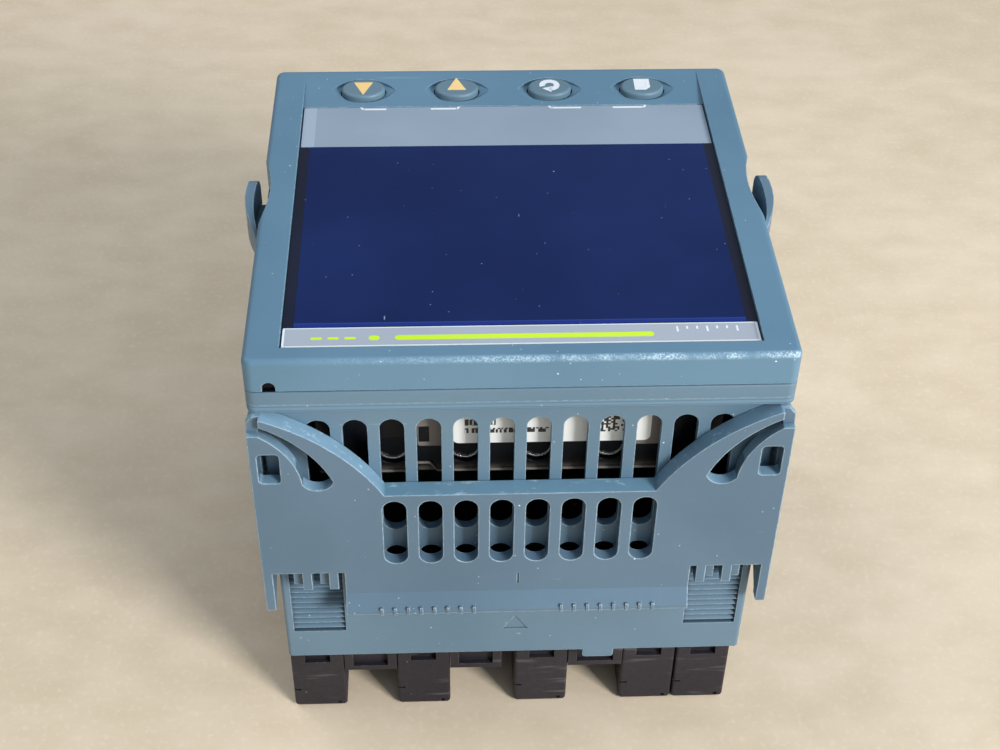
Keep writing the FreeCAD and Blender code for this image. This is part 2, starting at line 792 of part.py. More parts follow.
# ---------------------------------------------------- inside of the instrument
def inner_chassis():
    half = chassis_half
    plate_rear = chassis_front_z - chassis_front
    apron_rear = plate_rear - apron_length
    pieces = [box(-half, half, -half, half, plate_rear, chassis_front_z)]
    window = half - chassis_rim
    pieces[0] = pieces[0].cut(box(-window, window, -window, window, plate_rear - 1, chassis_front_z + 1))
    for side in (-1, 1):
        y0, y1 = sorted((side * half, side * (half - chassis_wall)))
        pieces.append(box(apron_inset - half, half - apron_inset, y0, y1, apron_rear, plate_rear))
        x0, x1 = sorted((side * half, side * (half - chassis_wall)))
        pieces.append(box(x0, x1, -board_offset - rail_margin, board_offset + rail_margin, rail_rear, plate_rear))
        b0, b1 = sorted((side * board_offset, side * (board_offset - rear_bar_width)))
        pieces.append(box(-half, half, b0, b1, board_rear_z, board_rear_z + rear_bar_height))
    frame = fuse_all(pieces)
    holes = [Part.makeCylinder(can_radius + can_fit, chassis_wall + 2,
                               V(x, chassis_wall + 1 - half, apron_rear + can_rise), V(0, -1, 0))
             for x in can_xs()]
    return frame.cut(holes)


def apron_rear_z():
    return chassis_front_z - chassis_front - apron_length


def rating_label():
    y = -chassis_half
    low = apron_rear_z() + label_rise
    plate = box(label_at - label_width / 2, label_at + label_width / 2, y - label_thickness, y,
                low, low + label_height)
    return rounded(plate, label_corner, lambda edge: edge.BoundBox.YLength > label_thickness / 2
                   and edge.BoundBox.XLength < 0.001)


def long_board(side):
    half = chassis_half - chassis_wall - board_fit
    y0, y1 = sorted((side * board_offset, side * (board_offset + board_thickness)))
    return box(-half, half, y0, y1, board_rear_z, chassis_front_z - chassis_front)


def board_connector(side):
    middle = board_offset + board_thickness / 2
    y0, y1 = sorted((side * (middle - connector_depth / 2), side * (middle + connector_depth / 2)))
    g0, g1 = sorted((side * (middle - connector_groove / 2), side * (middle + connector_groove / 2)))
    half = connector_width / 2
    body = box(-half, half, y0, y1, connector_rear, board_rear_z)
    groove = box(-half + connector_wall, half - connector_wall, g0, g1, connector_rear - 1,
                 board_rear_z - connector_floor)
    return body.cut(groove)


def can_xs():
    return [can_middle + x for x in spread(can_count, can_pitch)]


def capacitor(index):
    x = can_xs()[index]
    can_z = apron_rear_z() + can_rise
    face = -(board_offset + board_thickness)
    can = Part.makeCylinder(can_radius, can_height, V(x, face, can_z), V(0, -1, 0))
    can = rounded(can, can_edge, lambda edge: edge.BoundBox.YMax < face - can_height + 0.001)
    start = V(x, face - can_groove_rise, can_z)
    band = Part.makeCylinder(can_radius + 1, can_groove_width, start, V(0, -1, 0))
    neck = Part.makeCylinder(can_radius - can_groove, can_groove_width, start, V(0, -1, 0))
    return can.cut(band.cut(neck))


def transformer():
    half_width, half_height = transformer_width / 2, transformer_height / 2
    x, z = transformer_at, board_rear_z + transformer_rise
    face = -board_offset
    core = box(x - half_width, x + half_width, face, face + transformer_depth, z - half_height, z + half_height)
    core = rounded(core, core_edge, lambda edge: edge.BoundBox.YMin > face + transformer_depth - 0.001)
    bobbin = box(x - half_width + bobbin_inset, x + half_width - bobbin_inset, face,
                 face + transformer_depth + bobbin_overhang / 2, z - half_height - bobbin_overhang,
                 z + half_height + bobbin_overhang)
    return core.fuse(bobbin).removeSplitter()


def relay(index):
    x, z = spread(relay_count, relay_pitch)[index], board_rear_z + relay_rise
    face = board_offset + board_thickness
    case = box(x - relay_width / 2, x + relay_width / 2, face, face + relay_height,
               z - relay_depth / 2, z + relay_depth / 2)
    return rounded(case, relay_edge, lambda edge: edge.BoundBox.YMin > face + relay_height - 0.001)


# ---------------------------------------------------------------- the terminals
def row_x(index):
    middle = row_centres[index]
    return middle - row_width / 2, middle + row_width / 2


def entry_side(index):
    # wires come in from the gap beside each row
    return -1 if index == 3 else 1


def terminal_block(index):
    x0, x1 = row_x(index)
    half = row_length / 2
    body = rounded(box(x0, x1, -half, half, 0, block_height), row_corner, upright)
    body = rounded(body, row_foot_round, lambda edge: edge.BoundBox.ZMax < 0.001
                   and edge.BoundBox.YLength > half)
    middle = row_centres[index]
    side = entry_side(index)
    cuts = []
    for y in spread(poles, pole_pitch):
        cuts.append(Part.makeCylinder(well_radius, well_depth, V(middle, y, 0)))
        cuts.append(Part.makeCylinder(screw_radius, screw_length + screw_end_gap, V(middle, y, well_depth)))
        e0, e1 = sorted((middle + side * row_width / 2, middle + side * (row_width / 2 - entry_depth)))
        cuts.append(box(e0, e1, y - entry_width / 2, y + entry_width / 2, entry_low_z(),
                        entry_low_z() + entry_height))
    for end in (-1, 1):
        y0, y1 = sorted((end * half, end * (half - window_depth)))
        cuts.append(box(middle - window_width / 2, middle + window_width / 2, y0, y1,
                        block_height - window_height, block_height))
        nick = box(x0, x0 + nick_length, -half, -half + nick_depth, nick_rise, nick_rise + nick_height)
        pin_mark = Part.makeCylinder(pin_mark_radius, nick_depth,
                                     V(x1 - pin_mark_inset, -half, pin_mark_rise), V(0, 1, 0))
        for mark in (nick, pin_mark):
            if end > 0:
                mark.rotate(V(middle, 0, 0), V(0, 0, 1), 180)
            cuts.append(mark)
    return body.cut(cuts)


def entry_low_z():
    return well_depth + entry_rise


def screw(x, y):
    head_low = well_depth - screw_head_height
    head = Part.makeCylinder(screw_head_radius, screw_head_height, V(x, y, head_low))
    shank = Part.makeCylinder(screw_radius - screw_fit, screw_length, V(x, y, well_depth))
    slot = box(x - screw_head_radius, x + screw_head_radius, y - screw_slot / 2, y + screw_slot / 2,
               head_low, head_low + screw_slot_depth)
    return head.fuse(shank).cut(slot)


def terminal_screws():
    return Part.makeCompound([screw(x, y) for x in row_centres for y in spread(poles, pole_pitch)])


def wire_clamps():
    clamps = []
    top = entry_low_z() + entry_height
    for index, middle in enumerate(row_centres):
        side = entry_side(index)
        outer = row_width / 2 - clamp_inset
        x0, x1 = sorted((middle + side * outer, middle + side * (outer - clamp_size)))
        for y in spread(poles, pole_pitch):
            plate = box(x0, x1, y - clamp_size / 2, y + clamp_size / 2, top - clamp_thickness, top)
            plate = plate.cut(Part.makeCylinder(screw_radius, clamp_thickness + 2,
                                                V(middle, y, top - clamp_thickness - 1)))
            clamps.append(plate)
    return Part.makeCompound(clamps)


def terminal_base():
    half = row_length / 2
    inside = cavity_rear - plug_fit
    plug = box(-inside, inside, -inside, inside, sleeve_rear_z, base_top_z)
    pieces = [plug]
    cuts = []
    for index in range(len(row_centres) - 1):
        x0, x1 = row_x(index)[1] + bridge_fit, row_x(index + 1)[0] - bridge_fit
        if index == 1:
            x1 -= bridge_2_gap
        if x1 - x0 < 2 * bridge_window_inset:
            continue
        pieces.append(box(x0, x1, -half, half, deck_height, sleeve_rear_z))
        for end in (-1, 1):
            y0, y1 = sorted((end * half, end * (half - window_depth)))
            cuts.append(box(x0 + bridge_window_inset, x1 - bridge_window_inset, y0, y1,
                            sleeve_rear_z - bridge_window_height, sleeve_rear_z))
    return fuse_all(pieces).cut(cuts)


def contact_blades():
    blades = []
    middle = board_offset + board_thickness / 2
    for side in (-1, 1):
        for x in spread(blade_count, blade_pitch):
            blades.append(box(x - blade_width / 2, x + blade_width / 2, side * middle - blade_thickness / 2,
                              side * middle + blade_thickness / 2, base_top_z, base_top_z + blade_height))
    return Part.makeCompound(blades)


# ------------------------------------------------------------------ all the nodes
def all_nodes():
    clip = retaining_clip()
    nodes = {
        "sleeve": sleeve(),
        "panel_gasket": panel_gasket(),
        "latch_ear_left": latch_ear(-1),
        "latch_ear_right": latch_ear(1),
        "retaining_clip_top": clip,
        "retaining_clip_bottom": half_turned(clip),
        "front_bezel": front_bezel(),
        "display_lens": display_lens(),
        "lcd_module": lcd_module(),
        "display_board": display_board(),
        "key_mat": key_mat(),
        "inner_chassis": inner_chassis(),
        "rating_label": rating_label(),
        "power_board": long_board(-1),
        "io_board": long_board(1),
        "power_connector": board_connector(-1),
        "io_connector": board_connector(1),
        "transformer": transformer(),
        "terminal_base": terminal_base(),
        "terminal_screws": terminal_screws(),
        "wire_clamps": wire_clamps(),
        "contact_blades": contact_blades(),
    }
    for name, x in zip(key_names, key_centres()):
        nodes[name] = push_key(x)
    for index in range(can_count):
        nodes["capacitor_%d" % (index + 1)] = capacitor(index)
    for index in range(relay_count):
        nodes["relay_%d" % (index + 1)] = relay(index)
    for index in range(len(row_centres)):
        nodes["terminal_block_%d" % (index + 1)] = terminal_block(index)
    return nodes


os.makedirs("parts", exist_ok=True)
for name, shape in all_nodes().items():
    shape.exportStep("parts/%s.step" % name)
    solids = shape.Solids
    print(name, len(solids), "solids", round(sum(s.Volume for s in solids), 2), "mm3",
          "valid" if shape.isValid() else "NOT VALID")
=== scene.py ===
import json
import math

import bpy
from mathutils import Matrix, Vector


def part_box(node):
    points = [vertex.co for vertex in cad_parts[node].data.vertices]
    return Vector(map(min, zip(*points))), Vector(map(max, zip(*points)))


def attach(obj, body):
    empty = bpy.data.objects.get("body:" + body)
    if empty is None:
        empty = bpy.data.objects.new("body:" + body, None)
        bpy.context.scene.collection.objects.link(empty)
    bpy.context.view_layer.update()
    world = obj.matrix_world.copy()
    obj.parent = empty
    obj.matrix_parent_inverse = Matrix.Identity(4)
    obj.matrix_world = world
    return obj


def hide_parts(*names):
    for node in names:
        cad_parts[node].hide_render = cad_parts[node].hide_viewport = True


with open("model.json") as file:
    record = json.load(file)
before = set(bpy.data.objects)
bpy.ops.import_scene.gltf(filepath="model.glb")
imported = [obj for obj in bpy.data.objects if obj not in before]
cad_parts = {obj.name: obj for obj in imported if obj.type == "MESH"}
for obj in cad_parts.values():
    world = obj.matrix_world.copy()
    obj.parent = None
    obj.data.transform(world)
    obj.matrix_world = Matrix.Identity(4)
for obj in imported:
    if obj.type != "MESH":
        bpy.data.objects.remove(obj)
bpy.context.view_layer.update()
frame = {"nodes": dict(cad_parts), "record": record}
cadNodes = frame["nodes"]
mm = 0.001
print("frame loaded:", len(cadNodes), "nodes")


def deselectAll():
    if bpy.context.object and bpy.context.object.mode != "OBJECT":
        bpy.ops.object.mode_set(mode="OBJECT")
    bpy.ops.object.select_all(action="DESELECT")


def applyPlace(piece):
    deselectAll()
    piece.select_set(True)
    bpy.context.view_layer.objects.active = piece
    bpy.ops.object.transform_apply(location=True, rotation=True, scale=True)


def pick(piece, kind, test):
    # selects the faces or edges whose points all pass the test, and leaves edit mode on
    deselectAll()
    piece.select_set(True)
    bpy.context.view_layer.objects.active = piece
    bpy.ops.object.mode_set(mode="EDIT")
    bpy.ops.mesh.select_mode(type=kind)
    bpy.ops.mesh.select_all(action="DESELECT")
    bpy.ops.object.mode_set(mode="OBJECT")
    mesh = piece.data
    for item in mesh.polygons if kind == "FACE" else mesh.edges:
        item.select = test([mesh.vertices[v].co for v in item.vertices])
    bpy.ops.object.mode_set(mode="EDIT")


def leaveEdit():
    bpy.ops.object.mode_set(mode="OBJECT")


def joinPieces(name, pieces):
    deselectAll()
    for piece in pieces:
        piece.select_set(True)
    bpy.context.view_layer.objects.active = pieces[0]
    bpy.ops.object.join()
    joined = bpy.context.object
    joined.name = name
    joined.data.name = name
    return joined


def finishPiece(piece, body, material):
    applyPlace(piece)
    piece.data.materials.clear()
    piece.data.materials.append(material)
    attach(piece, body)
    return piece


def block(name, low, high):
    # a box between two corners, its place already in its mesh
    low, high = Vector(low), Vector(high)
    deselectAll()
    bpy.ops.mesh.primitive_cube_add(size=1, location=(low + high) / 2)
    piece = bpy.context.object
    piece.name = name
    piece.data.name = name
    piece.scale = high - low
    applyPlace(piece)
    return piece


def isUpright(points):
    return abs((points[0] - points[1]).normalized().z) > 0.99


def roundCorners(piece, radius, steps=6, test=isUpright):
    pick(piece, "EDGE", test)
    bpy.ops.mesh.bevel(offset=radius, segments=steps, affect="EDGES")
    leaveEdit()
    return piece


def printedBar(name, low, high, bottom, thickness, radius, steps=6):
    piece = block(name, (low[0], low[1], bottom), (high[0], high[1], bottom + thickness))
    return roundCorners(piece, radius, steps)


def colour(code):
    channels = [int(code[i:i + 2], 16) / 255 for i in (0, 2, 4)]
    return [c / 12.92 if c <= 0.04045 else ((c + 0.055) / 1.055) ** 2.4 for c in channels] + [1]


def addNode(tree, kind, inputs=None, **settings):
    node = tree.nodes.new("ShaderNode" + kind)
    for key, value in settings.items():
        setattr(node, key, value)
    for key, value in (inputs or {}).items():
        if isinstance(value, bpy.types.NodeSocket):
            tree.links.new(value, node.inputs[key])
        else:
            node.inputs[key].default_value = value
    return node


def newMaterial(name):
    material = bpy.data.materials.new(name)
    material.use_nodes = True
    tree = material.node_tree
    tree.nodes.clear()
    output = addNode(tree, "OutputMaterial")
    shader = addNode(tree, "BsdfPrincipled")
    tree.links.new(shader.outputs[0], output.inputs["Surface"])
    place = addNode(tree, "TexCoord").outputs["Object"]
    return material, tree, shader, place


def mathOf(tree, operation, *values, clamp=False):
    inputs = {i: value for i, value in enumerate(values)}
    return addNode(tree, "Math", inputs, operation=operation, use_clamp=clamp).outputs[0]


def timesOf(tree, first, *others):
    for other in others:
        first = mathOf(tree, "MULTIPLY", first, other)
    return first


def rampOf(tree, value, low, high):
    # 0 below low, 1 above high, smooth between
    inputs = {0: value, 1: low, 2: high}
    return addNode(tree, "MapRange", inputs, interpolation_type="SMOOTHSTEP").outputs[0]


def spreadOf(tree, value, span, ends):
    # the value's span laid over two end values
    return addNode(tree, "MapRange", {0: value, 1: span[0], 2: span[1], 3: ends[0], 4: ends[1]}).outputs[0]


def chosenCells(tree, cells, channel, over):
    tint = addNode(tree, "SeparateColor", {0: cells.outputs["Color"]}).outputs[channel]
    return mathOf(tree, "GREATER_THAN", tint, over)


def mixOf(tree, share, under, over):
    return addNode(tree, "Mix", {0: share, 6: under, 7: over}, data_type="RGBA").outputs[2]


def noiseOf(tree, place, scale, detail=2.0, stretch=None, turn=0.0, roughness=0.5):
    if stretch:
        turned = {"Vector": place, "Scale": stretch, "Rotation": (0, 0, turn)}
        place = addNode(tree, "Mapping", turned).outputs[0]
    inputs = {"Vector": place, "Scale": scale, "Detail": detail, "Roughness": roughness}
    return addNode(tree, "TexNoise", inputs).outputs[0]


def speckOf(tree, place, scale, size, share, stretch=None, turn=0.0):
    # small dust grains, or short hairs where stretched, on a share of the cells only
    if stretch:
        turned = {"Vector": place, "Scale": stretch, "Rotation": (turn, turn * 0.7, turn)}
        place = addNode(tree, "Mapping", turned).outputs[0]
    cells = addNode(tree, "TexVoronoi", {"Vector": place, "Scale": scale})
    near = rampOf(tree, cells.outputs["Distance"], size, size * 0.5)
    return timesOf(tree, near, chosenCells(tree, cells, 0, 1 - share))


def dustOf(tree, place, share):
    # scattered grains, finer lint and a few hairs in two directions
    coarse = speckOf(tree, place, 150, 0.03, share)
    fine = timesOf(tree, speckOf(tree, place, 420, 0.06, share), 0.7)
    across = speckOf(tree, place, 260, 0.045, share * 0.4, (1.0, 0.2, 0.2), 0.5)
    along = speckOf(tree, place, 240, 0.045, share * 0.4, (0.2, 1.0, 0.25), -0.9)
    grains = mathOf(tree, "MAXIMUM", coarse, fine)
    hairs = mathOf(tree, "MAXIMUM", across, along)
    return mathOf(tree, "MAXIMUM", grains, timesOf(tree, hairs, 0.7))


def opennessOf(tree, reach):
    # 1 where nothing of the same piece stands near
    inputs = {"Distance": reach}
    return addNode(tree, "AmbientOcclusion", inputs, samples=6, only_local=True).outputs["AO"]


def edgeOf(tree, width, low=0.02, high=0.35):
    # 1 on outer corners and along outer edges, 0 on flats and inner corners
    rounded = addNode(tree, "Bevel", {"Radius": width}, samples=6).outputs[0]
    plain = addNode(tree, "NewGeometry").outputs["True Normal"]
    turned = addNode(tree, "VectorMath", {0: rounded, 1: plain}, operation="DOT_PRODUCT").outputs["Value"]
    sharp = rampOf(tree, mathOf(tree, "SUBTRACT", 1.0, turned), low, high)
    return timesOf(tree, sharp, rampOf(tree, opennessOf(tree, width * 3), 0.75, 0.95))


def grainBump(tree, place, settings, normal=None):
    grain = noiseOf(tree, place, settings["grainScale"], 3)
    inputs = {"Height": grain, "Strength": settings["grainStrength"], "Distance": settings["grainDepth"]}
    if normal is not None:
        inputs["Normal"] = normal
    return addNode(tree, "Bump", inputs).outputs[0]


camera = {
    "place": (-14.5 * mm, -254.0 * mm, 276.66 * mm),
    "yaw": 2.906, "pitch": 41.009, "roll": 1.008,
    "lens": 57.56, "sensor": 36,
}
yaw, pitch, roll = (math.radians(camera[key]) for key in ("yaw", "pitch", "roll"))
ahead = Vector((math.sin(yaw) * math.cos(pitch), math.cos(yaw) * math.cos(pitch), -math.sin(pitch)))
level = Vector((math.cos(yaw), -math.sin(yaw), 0))
above = level.cross(ahead)
sideAxis = level * math.cos(roll) + above * math.sin(roll)
upAxis = above * math.cos(roll) - level * math.sin(roll)
cameraData = bpy.data.cameras.new("camera")
cameraData.lens = camera["lens"]
cameraData.sensor_width = camera["sensor"]
cameraData.clip_start = 0.01
cameraObject = bpy.data.objects.new("camera", cameraData)
bpy.context.scene.collection.objects.link(cameraObject)
turned = Matrix((sideAxis, upAxis, -ahead)).transposed().to_4x4()
cameraObject.matrix_world = Matrix.Translation(camera["place"]) @ turned
bpy.context.scene.camera = cameraObject

light = {
    "world": 0.25, "worldSlope": 0.18, "worldFrom": (0.80, -0.10, 0.59), "worldTint": (0.84, 0.92, 1.0, 1),
    "key": {"place": (0.74, -0.84, 0.62), "size": 0.34, "power": 16.6, "tint": (1.0, 0.985, 0.96)},
    "side": {"place": (0.88, -0.05, 0.55), "size": 0.6, "power": 1.8, "tint": (0.88, 0.95, 1.0)},
    "front": {"place": (0.25, -0.60, 1.05), "size": 0.7, "power": 1.4, "tint": (0.88, 0.95, 1.0)},
    "fill": {"place": (-0.66, 0.30, 0.86), "size": 0.9, "power": 4.2, "tint": (0.95, 0.97, 1.0)},
    "aim": (0, 0, 0.05),
}
world = bpy.data.worlds.new("studio")
bpy.context.scene.world = world
world.use_nodes = True
background = world.node_tree.nodes["Background"]
background.inputs["Color"].default_value = light["worldTint"]
sky = world.node_tree
outward = addNode(sky, "TexCoord").outputs["Generated"]
towards = addNode(sky, "VectorMath", {0: outward, 1: light["worldFrom"]}, operation="DOT_PRODUCT").outputs["Value"]
strength = mathOf(sky, "MULTIPLY_ADD", towards, light["worldSlope"], light["world"])
sky.links.new(strength, background.inputs["Strength"])
for name in ("key", "side", "front", "fill"):
    lamp = bpy.data.lights.new(name, "AREA")
    lamp.size = light[name]["size"]
    lamp.energy = light[name]["power"]
    lamp.color = light[name]["tint"]
    lampObject = bpy.data.objects.new(name, lamp)
    bpy.context.scene.collection.objects.link(lampObject)
    place = Vector(light[name]["place"])
    lampObject.location = place
    lampObject.rotation_euler = (Vector(light["aim"]) - place).to_track_quat("-Z", "Y").to_euler()

floorSettings = {
    "half": 3.0, "tone": "e4d4bd", "toneDark": "d5c4ab", "fibre": "efe3d0", "fibreShare": 0.3,
    "roughness": 0.85, "specular": 0.2, "creaseStrength": 0.3, "creaseDepth": 0.9 * mm,
}
deselectAll()
bpy.ops.mesh.primitive_plane_add(size=2 * floorSettings["half"], location=(0, 0, 0))
floor = bpy.context.object
floor.name = "floor"
floorMaterial, tree, shader, place = newMaterial("floorPaper")
broad = timesOf(tree, noiseOf(tree, place, 14, 5), 0.5)
narrow = timesOf(tree, noiseOf(tree, place, 75, 4, stretch=(0.8, 1.3, 1.0)), 0.5)
mottle = mathOf(tree, "ADD", broad, narrow)
fibre = noiseOf(tree, place, 700, 4)
patches = rampOf(tree, mottle, 0.30, 0.70)
tone = mixOf(tree, patches, colour(floorSettings["toneDark"]), colour(floorSettings["tone"]))
strands = timesOf(tree, rampOf(tree, fibre, 0.5, 0.75), floorSettings["fibreShare"])
tone = mixOf(tree, strands, tone, colour(floorSettings["fibre"]))
tree.links.new(tone, shader.inputs["Base Color"])
shader.inputs["Roughness"].default_value = floorSettings["roughness"]
shader.inputs["Specular IOR Level"].default_value = floorSettings["specular"]
crease = noiseOf(tree, place, 48, 5, stretch=(0.7, 1.2, 1.0), turn=0.3, roughness=0.6)
inputs = {"Height": crease, "Strength": floorSettings["creaseStrength"], "Distance": floorSettings["creaseDepth"]}
tree.links.new(addNode(tree, "Bump", inputs).outputs[0], shader.inputs["Normal"])
floor.data.materials.append(floorMaterial)
bpy.context.scene.view_settings.view_transform = "Standard"
print("camera, light and floor ready")


def rubbedHighlightLine(tree, place, axes, body, finish):
    # a lighter line along X, at one Y and Z: rubbed wear on the front top edge, and a painted highlight of the rounded
    # edge
    y, z, reach, start, stop = finish["rubHighlightLine"]
    across = addNode(tree, "CombineXYZ", {1: axes[1], 2: axes[2]}).outputs[0]
    away = addNode(tree, "VectorMath", {0: across, 1: (0, y, z)}, operation="DISTANCE").outputs["Value"]
    along = rampOf(tree, axes[0], start, stop)
    rough = rampOf(tree, noiseOf(tree, place, 3200, 3, roughness=0.8), 0.40, 0.62)
    wide = rampOf(tree, noiseOf(tree, place, 200, 3), 0.25, 0.6)
    near = timesOf(tree, rampOf(tree, away, reach, reach * 0.25), wide)
    return mixOf(tree, timesOf(tree, near, rough, along), body, colour(finish["worn"]))


def ledgeHighlightAndWear(tree, place, axes, body, finish):
    # faces that look up, from one height on, painted lighter and bluer as a painted highlight of the light falling on
    # them, and streaked with wear
    z, tone, armHighlightTone = finish["ledge"]
    upward = addNode(tree, "SeparateXYZ", {0: addNode(tree, "NewGeometry").outputs["True Normal"]}).outputs[2]
    high = mathOf(tree, "GREATER_THAN", axes[2], z - 0.1 * mm)
    onLedge = timesOf(tree, high, mathOf(tree, "GREATER_THAN", upward, 0.35))
    highlightTone = mixOf(tree, rampOf(tree, axes[2], z + 0.3 * mm, z + 1.5 * mm), colour(tone), colour(armHighlightTone))
    streaks = rampOf(tree, noiseOf(tree, place, 700, 4, stretch=(0.35, 1.0, 1.0), roughness=0.7), 0.56, 0.68)
    body = mixOf(tree, timesOf(tree, onLedge, 0.75), body, highlightTone)
    return mixOf(tree, timesOf(tree, onLedge, streaks, 0.45), body, colour(finish["worn"]))


def mouldedPlastic(name, finish):
    material, tree, shader, place = newMaterial(name)
    cloud = noiseOf(tree, place, finish["cloudScale"], 4)
    body = mixOf(tree, rampOf(tree, cloud, 0.3, 0.7), colour(finish["dark"]), colour(finish["light"]))
    edge = edgeOf(tree, finish["edgeWidth"])
    rubbed = rampOf(tree, noiseOf(tree, place, finish["rubScale"], 5, roughness=0.7), *finish["rubRange"])
    share = mathOf(tree, "ADD", timesOf(tree, rubbed, finish["rubShare"]), finish["edgeShare"])
    worn = mathOf(tree, "MULTIPLY", edge, share, clamp=True)
    body = mixOf(tree, worn, body, colour(finish["worn"]))
    scratch = rampOf(tree, noiseOf(tree, place, 60, 2, stretch=(1.0, 9.0, 9.0), turn=0.4), *finish["scratchRange"])
    body = mixOf(tree, timesOf(tree, scratch, finish["scratchShare"]), body, colour(finish["worn"]))
    body = mixOf(tree, dustOf(tree, place, finish["dustShare"]), body, colour(finish["dust"]))
    axes = addNode(tree, "SeparateXYZ", {0: place}).outputs
    if finish["rubHighlightLine"]:
        body = rubbedHighlightLine(tree, place, axes, body, finish)
    if finish["hem"]:
        z, reach, tone = finish["hem"]
        above = mathOf(tree, "GREATER_THAN", axes[2], z)
        body = mixOf(tree, timesOf(tree, rampOf(tree, axes[2], z + reach, z), above), body, colour(tone))
    # painted shade: thin darker lines in the grooves between ribs along Z
    if finish["ribs"]:
        rib = rampOf(tree, mathOf(tree, "PINGPONG", axes[2], finish["ribs"]), 0.0, finish["ribs"] * 0.45)
        grooveShade = timesOf(tree, mathOf(tree, "SUBTRACT", 1.0, rib), 0.55)
        body = mixOf(tree, grooveShade, body, colour(finish["grooveShadeTone"]))
    # painted highlight on the up-facing ledge and arm tops, with wear streaks
    if finish["ledge"]:
        body = ledgeHighlightAndWear(tree, place, axes, body, finish)
    # painted shade: darker towards a dark tone where other surfaces of the same piece stand near, in slots, corners and
    # gaps
    if finish["creviceShade"]:
        reach, share, tone = finish["creviceShade"]
        shadedShare = rampOf(tree, opennessOf(tree, reach), 0.72, 0.2)
        body = mixOf(tree, timesOf(tree, shadedShare, share), body, colour(tone))
    tree.links.new(body, shader.inputs["Base Color"])
    sheen = noiseOf(tree, place, 900, 2)
    tree.links.new(spreadOf(tree, sheen, (0.3, 0.7), finish["rough"]), shader.inputs["Roughness"])
    soft = addNode(tree, "Bevel", {"Radius": finish["softness"]}, samples=6).outputs[0]
    tree.links.new(grainBump(tree, place, finish, soft), shader.inputs["Normal"])
    shader.inputs["Specular IOR Level"].default_value = finish["specular"]
    return material


casePlastic = {
    "dark": "5a768b", "light": "648095", "worn": "c0dae9", "dust": "f0f7fb",
    "cloudScale": 22, "edgeWidth": 0.4 * mm, "edgeShare": 0.34,
    "rubScale": 900, "rubRange": (0.40, 0.62), "rubShare": 0.75,
    "scratchRange": (0.72, 0.80), "scratchShare": 0.3, "dustShare": 0.85,
    "ribs": 0, "grooveShadeTone": "3f5563", "rubHighlightLine": None, "hem": None, "ledge": None,
    # painted shade in slots, corners and gaps: reach, share and dark tone
    "creviceShade": (4.5 * mm, 0.75, "242a32"),
    "grainScale": 5200, "grainStrength": 0.35, "grainDepth": 0.06 * mm,
    "rough": (0.38, 0.52), "softness": 0.25 * mm, "specular": 0.45,
}
clipPlastic = dict(
    casePlastic, dark="536d82", light="5d778d", worn="c6dfee", edgeShare=0.6, edgeWidth=0.5 * mm,
    # the ledge and arm-top tones are a painted highlight
    scratchShare=0.35, ledge=(70.0 * mm, "6f99b2", "82a8c2"),
)
bezelPlastic = dict(
    casePlastic, dark="587c95", light="62869f", edgeShare=0.2, rubShare=0.6, scratchShare=0.1,
    # rubbed wear with a painted highlight along the bezel's front top edge
    rubHighlightLine=(-47.55 * mm, 100.55 * mm, 0.85 * mm, -45 * mm, 25 * mm),
)
keyPlastic = dict(casePlastic, dark="5c7888", light="668293", edgeWidth=0.25 * mm, dustShare=0.1, scratchShare=0.1)
gasketRubber = dict(
    casePlastic, dark="648399", light="6c8ba3", edgeShare=0.1, rubShare=0.3, scratchShare=0.1,
    # ribs carry painted shade lines in their grooves
    ribs=0.42 * mm, rough=(0.6, 0.75), specular=0.3, grainScale=2600,
)
keyRubber = dict(
    casePlastic, dark="3c3f42", light="484c4f", edgeShare=0.0, rubShare=0.1, rough=(0.6, 0.7), specular=0.3,
)
relayPlastic = dict(casePlastic, dark="b9b8b0", light="c9c8c1", worn="dedfd9", dust="8f8c84", rough=(0.3, 0.42))
blackPlastic = dict(
    casePlastic, dark="211e26", light="2c2930", worn="7d7c80", dust="c4c4c4",
    rubRange=(0.5, 0.66), rubShare=0.8, edgeShare=0.16, scratchRange=(0.60, 0.70), scratchShare=0.25,
    dustShare=0.3, rough=(0.48, 0.64), specular=0.38, creviceShade=(3.0 * mm, 0.6, "0d0e12"),
)
# near black, darker than the black plastic: the inside's own black deepened as painted shade for the inside seen
# through the slots
chassisShadePlastic = dict(
    blackPlastic, dark="07080c", light="0c0e15", worn="24272d", dust="5c6066", scratchShare=0.05,
    dustShare=0.1, hem=(70.0 * mm, 1.6 * mm, "4a4541"), rough=(0.3, 0.42), specular=0.15,
)
patchPlastic = dict(blackPlastic, dark="6d6763", light="7a7470", worn="948e8a", scratchShare=0.05)
finishes = {
    "case_plastic": mouldedPlastic("caseBlueGrey", casePlastic),
    "clip_plastic": mouldedPlastic("clipBlueGrey", clipPlastic),
    "bezel_plastic": mouldedPlastic("bezelBlueGrey", bezelPlastic),
    "key_plastic": mouldedPlastic("keyBlueGrey", keyPlastic),
    "black_plastic": mouldedPlastic("terminalBlack", blackPlastic),
    "gasket_rubber": mouldedPlastic("gasketGrey", gasketRubber),
    "key_rubber": mouldedPlastic("keyRubber", keyRubber),
    "relay_plastic": mouldedPlastic("relayWhite", relayPlastic),
}
# also used for the black pieces below that stand for shade in gaps, the notch and the can ends
chassisShadeBlack = mouldedPlastic("chassisShadeBlack", chassisShadePlastic)
chassisGrey = mouldedPlastic("chassisGrey", patchPlastic)
print("moulded finishes ready")


